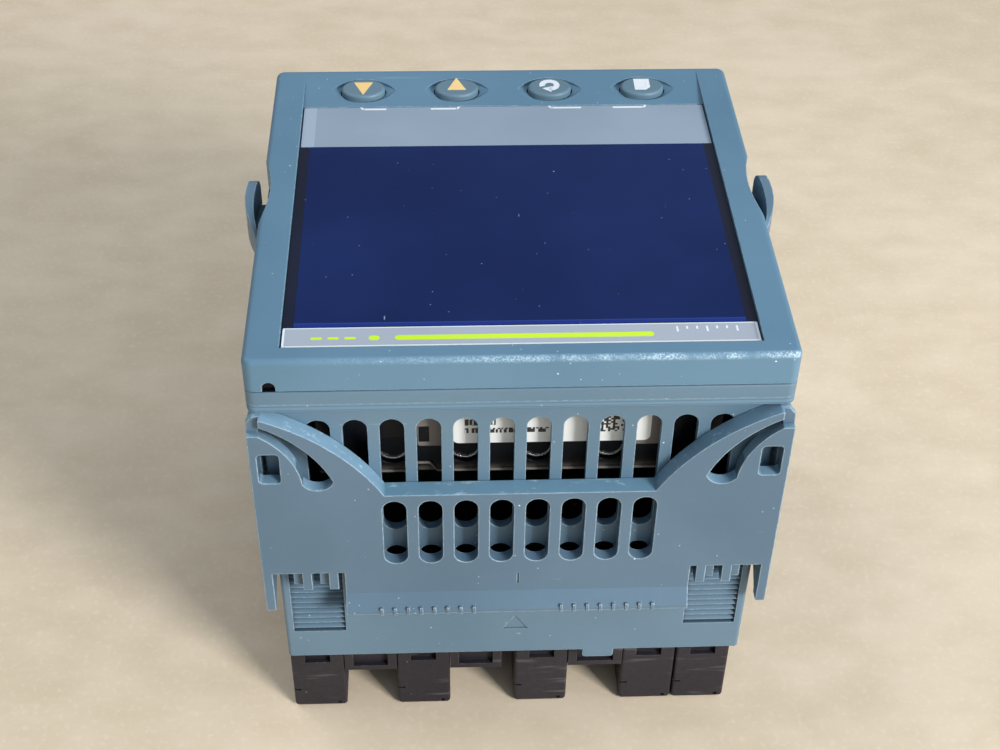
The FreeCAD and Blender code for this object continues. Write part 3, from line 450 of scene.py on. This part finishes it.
def greenBoard():
    # the board's green is near black: a dark solder mask, darkened further as painted shade for where the board sits
    # inside the case
    settings = {
        "shadedMask": "07120c", "shadedMaskLight": "0a1911", "track": "11271b", "pad": "8f8150", "hole": "080b08",
        "trackScale": 160.0, "trackWidth": 0.09, "padScale": 330.0, "padShare": 0.4,
    }
    material, tree, shader, place = newMaterial("greenBoard")
    cloud = noiseOf(tree, place, 60, 3)
    body = mixOf(tree, cloud, colour(settings["shadedMask"]), colour(settings["shadedMaskLight"]))
    black, white = (0, 0, 0, 1), (1, 1, 1, 1)
    tracks = addNode(tree, "TexBrick", {
        "Vector": place, "Scale": settings["trackScale"], "Mortar Size": settings["trackWidth"],
        "Color1": black, "Color2": black, "Mortar": white,
    }).outputs[0]
    body = mixOf(tree, tracks, body, colour(settings["track"]))
    pads = addNode(tree, "TexVoronoi", {"Vector": place, "Scale": settings["padScale"], "Randomness": 0.35})
    chosen = chosenCells(tree, pads, 1, 1 - settings["padShare"])
    pad = timesOf(tree, rampOf(tree, pads.outputs["Distance"], 0.27, 0.22), chosen)
    hole = timesOf(tree, rampOf(tree, pads.outputs["Distance"], 0.12, 0.09), chosen)
    body = mixOf(tree, pad, body, colour(settings["pad"]))
    body = mixOf(tree, hole, body, colour(settings["hole"]))
    tree.links.new(body, shader.inputs["Base Color"])
    tree.links.new(spreadOf(tree, pad, (0.0, 1.0), (0.35, 0.25)), shader.inputs["Roughness"])
    return material


def labelPaper():
    # rows of short plain bars and a field of little squares, no letters
    settings = {
        "paper": "dfe1e0", "paperLight": "e9ebea", "ink": "26272a",
        "rows": [
            (81.75, -10.0, -4.4, 0.75), (79.75, -10.0, 5.2, 0.6), (85.6, -10.0, 4.0, 0.6), (87.4, -10.0, 7.0, 0.6),
            (79.4, 18.2, 19.0, 0.25), (80.5, 18.2, 19.0, 0.25), (81.6, 18.2, 19.0, 0.25),
        ],
        "code": (15.6, 81.4, 2.4), "cell": 0.42 * mm,
    }
    material, tree, shader, place = newMaterial("labelPaper")
    axes = addNode(tree, "SeparateXYZ", {0: place}).outputs
    line = mathOf(tree, "FLOOR", timesOf(tree, axes[2], 900.0))
    strokePlace = addNode(tree, "CombineXYZ", {0: timesOf(tree, axes[0], 1500.0), 1: line}).outputs[0]
    stroke = mathOf(tree, "GREATER_THAN", noiseOf(tree, strokePlace, 1.0, 1), 0.47)
    ink = 0.0
    for level, start, stop, half in settings["rows"]:
        inLine = mathOf(tree, "COMPARE", axes[2], level * mm, half * mm)
        inWidth = mathOf(tree, "COMPARE", axes[0], (start + stop) / 2 * mm, (stop - start) / 2 * mm)
        ink = mathOf(tree, "MAXIMUM", ink, timesOf(tree, timesOf(tree, inLine, inWidth), stroke))
    cell = settings["cell"]
    snapped = addNode(tree, "VectorMath", {0: place, 1: (cell, 1.0, cell)}, operation="SNAP").outputs[0]
    squares = addNode(tree, "TexWhiteNoise", {"Vector": snapped}, noise_dimensions="3D").outputs[0]
    codeX, codeZ, codeHalf = settings["code"]
    inField = timesOf(
        tree,
        mathOf(tree, "COMPARE", axes[0], codeX * mm, codeHalf * mm),
        mathOf(tree, "COMPARE", axes[2], codeZ * mm, codeHalf * mm),
    )
    code = timesOf(tree, mathOf(tree, "GREATER_THAN", squares, 0.4), inField)
    body = mixOf(tree, noiseOf(tree, place, 80, 3), colour(settings["paper"]), colour(settings["paperLight"]))
    body = mixOf(tree, mathOf(tree, "MAXIMUM", ink, code), body, colour(settings["ink"]))
    tree.links.new(body, shader.inputs["Base Color"])
    shader.inputs["Roughness"].default_value = 0.55
    inputs = {"Height": noiseOf(tree, place, 3000, 3), "Strength": 0.2, "Distance": 0.02 * mm}
    tree.links.new(addNode(tree, "Bump", inputs).outputs[0], shader.inputs["Normal"])
    return material


def wornMetal(name, finish):
    material, tree, shader, place = newMaterial(name)
    cloud = noiseOf(tree, place, finish["cloudScale"], 4)
    body = mixOf(tree, rampOf(tree, cloud, 0.3, 0.7), colour(finish["dark"]), colour(finish["light"]))
    lines = noiseOf(tree, place, finish["lineScale"], 2, stretch=finish["lineStretch"])
    body = mixOf(tree, timesOf(tree, rampOf(tree, lines, 0.5, 0.75), 0.25), body, colour(finish["line"]))
    tree.links.new(body, shader.inputs["Base Color"])
    shader.inputs["Metallic"].default_value = 1.0
    tree.links.new(spreadOf(tree, lines, (0.3, 0.7), finish["rough"]), shader.inputs["Roughness"])
    soft = addNode(tree, "Bevel", {"Radius": 0.12 * mm}, samples=4).outputs[0]
    inputs = {"Height": lines, "Strength": 0.25, "Distance": 0.03 * mm, "Normal": soft}
    tree.links.new(addNode(tree, "Bump", inputs).outputs[0], shader.inputs["Normal"])
    return material


def woundTape():
    settings = {"dark": "b48c22", "light": "d9b64a", "scale": 180.0, "rough": 0.35, "depth": 0.1 * mm}
    material, tree, shader, place = newMaterial("woundTape")
    inputs = {"Vector": place, "Scale": settings["scale"], "Distortion": 1.2, "Detail": 2.0}
    turns = addNode(tree, "TexWave", inputs, wave_type="BANDS", bands_direction="Z").outputs[0]
    tree.links.new(mixOf(tree, turns, colour(settings["dark"]), colour(settings["light"])), shader.inputs["Base Color"])
    shader.inputs["Roughness"].default_value = settings["rough"]
    inputs = {"Height": turns, "Strength": 0.4, "Distance": settings["depth"]}
    tree.links.new(addNode(tree, "Bump", inputs).outputs[0], shader.inputs["Normal"])
    return material


finishes["circuit_board"] = greenBoard()
finishes["label_paper"] = labelPaper()
finishes["screw_steel"] = wornMetal("zincSteel", {
    "dark": "8f9291", "light": "b9bbb8", "line": "dfe0dc", "cloudScale": 300,
    "lineScale": 1500, "lineStretch": (1.0, 0.2, 1.0), "rough": (0.28, 0.45),
})
finishes["contact_brass"] = wornMetal("platedBrass", {
    "dark": "a98a45", "light": "ceb06a", "line": "ead9a0", "cloudScale": 200,
    "lineScale": 1200, "lineStretch": (1.0, 1.0, 0.15), "rough": (0.25, 0.4),
})
finishes["can_aluminium"] = wornMetal("canAluminium", {
    "dark": "ccd0d2", "light": "e6e9ea", "line": "fafbfb", "cloudScale": 150,
    "lineScale": 900, "lineStretch": (1.0, 0.1, 1.0), "rough": (0.22, 0.36),
})
finishes["transformer_tape"] = woundTape()
print("metal, board and label finishes ready")


windowSettings = {
    "printThickness": 0.05 * mm, "sideGap": 0.2 * mm, "cornerRadius": 0.35 * mm, "edgeRadius": 0.12 * mm,
    "printRadius": 0.2 * mm, "bandGap": 0.08 * mm, "edgeLightWidth": 1.1 * mm, "dustTone": "b9c6e0", "dustStrength": 0.7,
}
lensLow, lensHigh = (Vector(corner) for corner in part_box("display_lens"))
lcdLow, lcdHigh = (Vector(corner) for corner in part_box("lcd_module"))


def glossWindow(name, settings):
    material, tree, shader, place = newMaterial(name)
    axes = addNode(tree, "SeparateXYZ", {0: place}).outputs
    cloud = noiseOf(tree, place, 28, 3)
    body = mixOf(tree, rampOf(tree, cloud, 0.3, 0.7), colour(settings["dark"]), colour(settings["light"]))
    for axis, centre, half, tone in settings["bands"]:
        body = mixOf(tree, mathOf(tree, "COMPARE", axes[axis], centre, half), body, colour(tone))
    dust = timesOf(tree, dustOf(tree, place, settings["dust"]), windowSettings["dustStrength"])
    body = mixOf(tree, dust, body, colour(windowSettings["dustTone"]))
    tree.links.new(body, shader.inputs["Base Color"])
    smear = noiseOf(tree, place, 55, 4)
    tree.links.new(spreadOf(tree, smear, (0.3, 0.75), settings["rough"]), shader.inputs["Roughness"])
    shader.inputs["Specular IOR Level"].default_value = settings["specular"]
    return material


edgeLightWidth = windowSettings["edgeLightWidth"]
windowDark = glossWindow("windowDark", {
    "dark": "12172b", "light": "171d33", "bands": [], "dust": 0.15, "rough": (0.05, 0.12), "specular": 0.35,
})
displayBlue = glossWindow("displayBlue", {
    "dark": "0d1f50", "light": "13275b",
    "bands": [
        # painted light at the LCD's near edge: a lighter band and a bright line, and a painted shade line on the edge
        # itself
        (1, lcdLow.y + edgeLightWidth / 2, edgeLightWidth / 2, "1a3080"),
        (1, lcdLow.y + edgeLightWidth, 0.12 * mm, "2a3f86"),
        (1, lcdLow.y, 0.16 * mm, "0a0f24"),
    ],
    "dust": 0.7, "rough": (0.05, 0.14), "specular": 0.24,
})
bandGrey = glossWindow("bandGrey", {
    "dark": "8a9bad", "light": "95a5b7", "bands": [(0, lensLow.x + 1.5 * mm, 1.3 * mm, "9fb0c2")],
    "dust": 0.15, "rough": (0.12, 0.2), "specular": 0.4,
})
stripMiddle = (lensLow.y + lcdLow.y) / 2
stripGrey = glossWindow("stripGrey", {
    "dark": "a3adbb", "light": "aab4c2",
    "bands": [
        (1, lensLow.y + 0.92 * mm, 0.17 * mm, "f0f8fb"),
        (0, lensLow.x + 0.38 * mm, 0.2 * mm, "eaf4fa"),
        (0, lensHigh.x - 0.38 * mm, 0.2 * mm, "eaf4fa"),
        (1, lcdLow.y - 0.2 * mm, 0.15 * mm, "d5e2ec"),
    ],
    "dust": 0.15, "rough": (0.12, 0.22), "specular": 0.4,
})
limePrint = glossWindow("limePrint", {
    "dark": "c6ea34", "light": "d0f23e", "bands": [], "dust": 0.1, "rough": (0.2, 0.3), "specular": 0.35,
})
whitePrint = glossWindow("whitePrint", {
    "dark": "dfe6ee", "light": "eef3f8", "bands": [], "dust": 0.0, "rough": (0.25, 0.35), "specular": 0.35,
})
amberPrint = glossWindow("amberPrint", {
    "dark": "f6cf88", "light": "fad898", "bands": [], "dust": 0.0, "rough": (0.25, 0.35), "specular": 0.35,
})

windowLens = block("windowLens", lensLow, lensHigh)
roundCorners(windowLens, windowSettings["cornerRadius"], 4)
pick(windowLens, "EDGE", lambda points: all(abs(p.z - lensHigh.z) < 1e-6 for p in points))
bpy.ops.mesh.bevel(offset=windowSettings["edgeRadius"], segments=2, affect="EDGES")
leaveEdit()
finishPiece(windowLens, "instrument", windowDark)
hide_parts("display_lens")

printTop = lensHigh.z
thick = windowSettings["printThickness"]
gap = windowSettings["bandGap"]
inset = windowSettings["sideGap"]


def windowPrint(name, low, high, material):
    # a thin pane lying half in the lens, half above it
    piece = printedBar(name, low, high, printTop - thick / 2, thick, windowSettings["printRadius"], 3)
    return finishPiece(piece, "instrument", material)


windowPrint("displayPane", (lcdLow.x, lcdLow.y), (lcdHigh.x, lcdHigh.y), displayBlue)
windowPrint(
    "farBand", (lensLow.x + inset, lcdHigh.y + gap), (lensHigh.x - inset, lensHigh.y - inset),
    bandGrey,
)
windowPrint(
    "nearStrip", (lensLow.x + inset, lensLow.y + inset), (lensHigh.x - inset, lcdLow.y - gap),
    stripGrey,
)

stripeSettings = {
    "bars": [(-22 * mm, 23 * mm), (-26.5 * mm, -24.6 * mm)], "half": 0.62 * mm,
    "dashes": (-36.5 * mm, -33.6 * mm, -30.7 * mm), "dashLength": 2.0 * mm, "dashHalf": 0.3 * mm,
    "dashRadius": 0.28 * mm, "sink": 0.01 * mm,
}
stripeTop = printTop + thick / 2 - stripeSettings["sink"]
stripeParts = []
half = stripeSettings["half"]
for start, stop in stripeSettings["bars"]:
    low, high = (start, stripMiddle - half), (stop, stripMiddle + half)
    stripeParts.append(printedBar("stripe", low, high, stripeTop, thick / 2, half * 0.98))
half = stripeSettings["dashHalf"]
for start in stripeSettings["dashes"]:
    low, high = (start, stripMiddle - half), (start + stripeSettings["dashLength"], stripMiddle + half)
    stripeParts.append(printedBar("dash", low, high, stripeTop, thick / 2, stripeSettings["dashRadius"]))
limeStripe = joinPieces("limeStripe", stripeParts)
finishPiece(limeStripe, "instrument", limePrint)

tickSettings = {
    "first": 27.0 * mm, "pitch": 1.75 * mm, "count": 7, "tall": 1.5 * mm, "short": 0.8 * mm,
    "drop": 1.0 * mm, "width": 0.35 * mm, "radius": 0.12 * mm,
}
tickParts = []
tickLine = lcdLow.y - tickSettings["drop"]
for i in range(tickSettings["count"]):
    x = tickSettings["first"] + i * tickSettings["pitch"]
    reach = tickSettings["tall"] if i % 3 == 0 else tickSettings["short"]
    low, high = (x, tickLine - reach), (x + tickSettings["width"], tickLine)
    tickParts.append(printedBar("tick", low, high, stripeTop, thick / 2, tickSettings["radius"], 3))
whiteTicks = joinPieces("whiteTicks", tickParts)
finishPiece(whiteTicks, "instrument", whitePrint)
print("window and printed strips ready")


canSettings = {
    "shadeFrom": -1.2 * mm, "rim": 0.62 * mm, "recess": 0.35 * mm, "endRound": 0.35 * mm,
    "sides": 40, "smooth": 35, "count": 4,
}


def canPiece(number):
    # an aluminium can on its side, with a rolled rim round its end; the end and the rim's upper part are given black as
    # painted shade, so only the lower rim shows metal
    node = "capacitor_%d" % number
    low, high = (Vector(corner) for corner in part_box(node))
    middle, radius = (low + high) / 2, (high.x - low.x) / 2
    deselectAll()
    bpy.ops.mesh.primitive_cylinder_add(
        vertices=canSettings["sides"], radius=radius, depth=high.y - low.y,
        location=middle, rotation=(math.pi / 2, 0, 0), end_fill_type="NGON",
    )
    piece = bpy.context.object
    piece.name = piece.data.name = "can%d" % number
    applyPlace(piece)
    pick(piece, "FACE", lambda points: all(abs(p.y - low.y) < 1e-6 for p in points))
    bpy.ops.mesh.inset(thickness=canSettings["rim"])
    bpy.ops.mesh.extrude_region_move(TRANSFORM_OT_translate={"value": (0, canSettings["recess"], 0)})
    leaveEdit()
    end = Vector((middle.x, low.y, middle.z))

    def isOuterRim(points):
        return all(abs(p.y - low.y) < 1e-6 and (p - end).length > radius - 1e-5 for p in points)

    pick(piece, "EDGE", isOuterRim)
    bpy.ops.mesh.bevel(offset=canSettings["endRound"], segments=3, affect="EDGES")
    leaveEdit()
    finishPiece(piece, "instrument", finishes["can_aluminium"])
    piece.data.materials.append(chassisShadeBlack)
    # painted shade: black on the end and on the rim above a height that rises to the right
    for face in piece.data.polygons:
        across, up = face.center.x - middle.x, face.center.z - middle.z
        onEnd = face.center.y < low.y + canSettings["endRound"] + canSettings["recess"]
        if onEnd and up > canSettings["shadeFrom"] + max(0, across) * 0.5:
            face.material_index = 1
    deselectAll()
    piece.select_set(True)
    bpy.context.view_layer.objects.active = piece
    bpy.ops.object.shade_smooth_by_angle(angle=math.radians(canSettings["smooth"]))
    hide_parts(node)
    return piece


for number in range(1, canSettings["count"] + 1):
    canPiece(number)

chassisLow = Vector(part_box("inner_chassis")[0])
apron = {
    "rear": 69.8 * mm, "rise": 0.4 * mm, "proud": 0.35 * mm, "half": 36.5 * mm,
    "stepFrom": -20.0 * mm, "stepTo": -16.4 * mm, "stepRise": 2.0 * mm, "slope": 1.4 * mm,
}


def apronRib():
    # thin rim along the rear edge of the black wall, stepped over a snap hook
    y0, y1 = chassisLow.y - apron["proud"], chassisLow.y
    z0, z1 = apron["rear"], apron["rear"] + apron["rise"]
    half, up, slopeEnd = apron["half"], apron["stepRise"], apron["stepTo"] + apron["slope"]
    parts = [
        block("rib", (-half, y0, z0), (apron["stepFrom"], y1, z1)),
        block("rib", (apron["stepFrom"], y0, z0 + up), (apron["stepTo"], y1, z1 + up)),
        block("rib", (slopeEnd, y0, z0), (half, y1, z1)),
    ]
    slope = block("rib", (apron["stepTo"], y0, z0), (slopeEnd, y1, z1))
    pick(slope, "FACE", lambda points: all(abs(p.x - apron["stepTo"]) < 1e-6 for p in points))
    bpy.ops.transform.translate(value=(0, 0, up))
    leaveEdit()
    return finishPiece(joinPieces("apronRib", parts + [slope]), "instrument", chassisGrey)


apronRib()
patch = {
    "thick": 0.12 * mm,
    "right": (19.0 * mm, 75.7 * mm, 26.7 * mm, 89.2 * mm),
    "left": (-18.6 * mm, 76.1 * mm, -12.6 * mm, 86.6 * mm),
    "hole": (-18.3 * mm, 77.2 * mm, -16.4 * mm, 80.9 * mm),
}


def isAcross(points):
    return abs((points[0] - points[1]).normalized().y) > 0.99


def wallPatch(name, key, out, material, radius):
    x0, z0, x1, z1 = patch[key]
    y = chassisLow.y - out
    piece = block(name, (x0, y - patch["thick"], z0), (x1, y, z1))
    roundCorners(piece, radius, 4, isAcross)
    return finishPiece(piece, "instrument", material)


wallPatch("labelBed", "right", 0, chassisGrey, 1.4 * mm)
wallPatch("sideBed", "left", 0, chassisGrey, 0.6 * mm)
wallPatch("sideHole", "hole", 0.06 * mm, chassisShadeBlack, 0.15 * mm)


def squareRing(name, half, width, low, high, corner):
    # a flat square ring with rounded outer corners
    piece = block(name, (-half, -half, low), (half, half, high))
    roundCorners(piece, corner, 6)
    pick(piece, "FACE", lambda points: any(all(abs(p.z - level) < 1e-7 for p in points) for level in (low, high)))
    bpy.ops.mesh.inset(thickness=width, use_individual=True)
    bpy.ops.mesh.bridge_edge_loops()
    bpy.ops.mesh.select_all(action="SELECT")
    bpy.ops.mesh.normals_make_consistent(inside=False)
    leaveEdit()
    return piece


bezelLow, bezelHigh = (Vector(corner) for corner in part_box("front_bezel"))
sleeveHigh = Vector(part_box("sleeve")[1])
seam = {"inset": 0.22 * mm, "width": 1.2 * mm, "gap": 0.03 * mm, "corner": 1.7 * mm}
# painted shadow: a black ring filling the gap between bezel and sleeve, standing for the shade in that seam
seamShadowRing = squareRing(
    "seamShadowRing", bezelHigh.x - seam["inset"], seam["width"],
    sleeveHigh.z + seam["gap"], bezelLow.z - seam["gap"], seam["corner"],
)
finishPiece(seamShadowRing, "instrument", chassisShadeBlack)
notch = {
    "x": -43.65 * mm, "half": 1.13 * mm, "top": 1.9 * mm, "depth": 0.75 * mm, "thick": 0.4 * mm,
    "rise": 0.02 * mm, "radius": 1.0 * mm,
}
notchY = bezelLow.y + notch["depth"]
# painted shade: a black back set inside the notch in the bezel's lower edge
notchShade = block(
    "notchShade", (notch["x"] - notch["half"], notchY, bezelLow.z + notch["rise"]),
    (notch["x"] + notch["half"], notchY + notch["thick"], bezelLow.z + notch["top"]),
)
roundCorners(notchShade, notch["radius"], 5, lambda points: isAcross(points) and points[0].z > bezelLow.z + 1.0 * mm)
finishPiece(notchShade, "instrument", chassisShadeBlack)
print("inside details ready")


symbolSettings = {
    "sink": 0.03 * mm, "rise": 0.04 * mm, "shift": 0.4 * mm,
    "triangle": 2.3 * mm, "stretch": 1.42, "triangleRound": 0.16 * mm,
    "ringOuter": 2.15 * mm, "ringInner": 0.95 * mm, "ringStart": -165, "ringSweep": 290, "ringSteps": 24,
    "head": 1.35 * mm, "headAhead": 4,
    "pageHalf": (1.65 * mm, 2.15 * mm), "pageCorner": 1.0 * mm, "pageBorder": 0.75 * mm,
    "pageStep": 0.15 * mm, "pageDepth": 0.03 * mm,
}


def keyMiddle(node):
    low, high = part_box(node)
    return Vector(((low[0] + high[0]) / 2, (low[1] + high[1]) / 2 + symbolSettings["shift"], high[2]))


def faceOutwards():
    bpy.ops.mesh.select_all(action="SELECT")
    bpy.ops.mesh.normals_make_consistent(inside=False)
    leaveEdit()


def raiseFace(piece, height):
    pick(piece, "FACE", lambda points: True)
    bpy.ops.mesh.extrude_region_move(TRANSFORM_OT_translate={"value": (0, 0, height)})
    faceOutwards()


def triangleSymbol(name, node, body, turn):
    middle = keyMiddle(node)
    deselectAll()
    bpy.ops.mesh.primitive_circle_add(
        vertices=3, radius=symbolSettings["triangle"], fill_type="NGON",
        location=(middle.x, middle.y, middle.z - symbolSettings["sink"]), rotation=(0, 0, turn),
    )
    piece = bpy.context.object
    piece.name = name
    piece.scale.y = symbolSettings["stretch"]
    applyPlace(piece)
    raiseFace(piece, symbolSettings["sink"] + symbolSettings["rise"])
    roundCorners(piece, symbolSettings["triangleRound"], 3)
    return finishPiece(piece, body, amberPrint)


triangleSymbol("symbolLower", "key_raise", "raise_key", math.pi)
triangleSymbol("symbolRaise", "key_lower", "lower_key", 0)


def ringSymbol(name, node, body):
    middle = keyMiddle(node)
    inner, outer = symbolSettings["ringInner"], symbolSettings["ringOuter"]
    start, sweep = math.radians(symbolSettings["ringStart"]), math.radians(symbolSettings["ringSweep"])
    bottom, top = middle.z - symbolSettings["sink"], middle.z + symbolSettings["rise"]
    deselectAll()
    radius = (inner + outer) / 2
    bpy.ops.mesh.primitive_plane_add(
        size=1, location=(middle.x + radius, middle.y, (bottom + top) / 2), rotation=(math.pi / 2, 0, 0),
    )
    piece = bpy.context.object
    piece.name = name
    piece.scale = (outer - inner, top - bottom, 1)
    applyPlace(piece)
    pick(piece, "FACE", lambda points: True)
    bpy.ops.transform.rotate(value=-start, orient_axis="Z", center_override=middle[:])
    bpy.ops.mesh.spin(steps=symbolSettings["ringSteps"], angle=sweep, center=middle[:], axis=(0, 0, 1))
    faceOutwards()
    deselectAll()
    angle = start - sweep - math.radians(symbolSettings["headAhead"])
    tip = (middle.x + radius * math.cos(angle), middle.y + radius * math.sin(angle), bottom)
    bpy.ops.mesh.primitive_circle_add(
        vertices=3, radius=symbolSettings["head"], fill_type="NGON", location=tip, rotation=(0, 0, angle - math.pi),
    )
    head = bpy.context.object
    applyPlace(head)
    raiseFace(head, top - bottom)
    piece = joinPieces(name, [piece, head])
    return finishPiece(piece, body, whitePrint)


def pageSymbol(name, node, body):
    middle = keyMiddle(node)
    half = symbolSettings["pageHalf"]
    bottom, top = middle.z - symbolSettings["sink"], middle.z + symbolSettings["rise"]
    low, high = (middle.x - half[0], middle.y - half[1]), (middle.x + half[0], middle.y + half[1])
    piece = block(name, (*low, bottom), (*high, top))

    def isFolded(points):
        return isUpright(points) and points[0].x > middle.x and points[0].y < middle.y

    roundCorners(piece, symbolSettings["pageCorner"], 1, isFolded)
    pick(piece, "FACE", lambda points: all(abs(p.z - top) < 1e-7 for p in points))
    bpy.ops.mesh.inset(thickness=symbolSettings["pageBorder"])
    bpy.ops.mesh.inset(thickness=symbolSettings["pageStep"], depth=-symbolSettings["pageDepth"])
    leaveEdit()
    return finishPiece(piece, body, whitePrint)


ringSymbol("symbolScroll", "key_scroll", "scroll_key")
pageSymbol("symbolPage", "key_page", "page_key")

bracketSettings = {
    "y": 33.0 * mm, "width": 0.55 * mm, "rise": 0.75 * mm, "slant": 0.5 * mm, "radius": 0.08 * mm,
    "lines": [
        (-29.2 * mm, -24.5 * mm, "left"), (-15.3 * mm, -9.9 * mm, "right"),
        (9.8 * mm, 16.0 * mm, "left"), (22.6 * mm, 29.0 * mm, "right"),
    ],
}


def slantedLine(low, high, side):
    # a printed line whose outer end turns out towards its key
    y, half, radius = bracketSettings["y"], bracketSettings["width"] / 2, bracketSettings["radius"]
    line = printedBar("line", (low, y - half), (high, y + half), stripeTop, thick / 2, radius, 3)
    end = low if side == "left" else high
    tailTop = y + bracketSettings["rise"]
    tail = block("tail", (end - half, y - half * 0.7, stripeTop), (end + half, tailTop, stripeTop + thick / 2))
    pick(tail, "FACE", lambda points: all(p.y > tailTop - 1e-6 for p in points))
    slant = bracketSettings["slant"]
    bpy.ops.transform.translate(value=(-slant if side == "left" else slant, 0, 0))
    leaveEdit()
    return [line, tail]


bracketParts = [piece for line in bracketSettings["lines"] for piece in slantedLine(*line)]
brackets = joinPieces("brackets", bracketParts)
finishPiece(brackets, "instrument", whitePrint)
print("key symbols ready")


slotOf = {part["node"]: part["material_slot"] for part in frame["record"]["subparts"]}
finishes.setdefault("lens_plastic", windowDark)
finishes.setdefault("lcd_glass", displayBlue)
for name, node in cadNodes.items():
    node.data.materials.clear()
    node.data.materials.append(chassisShadeBlack if name == "inner_chassis" else finishes[slotOf[name]])
print("finishes given to every node")
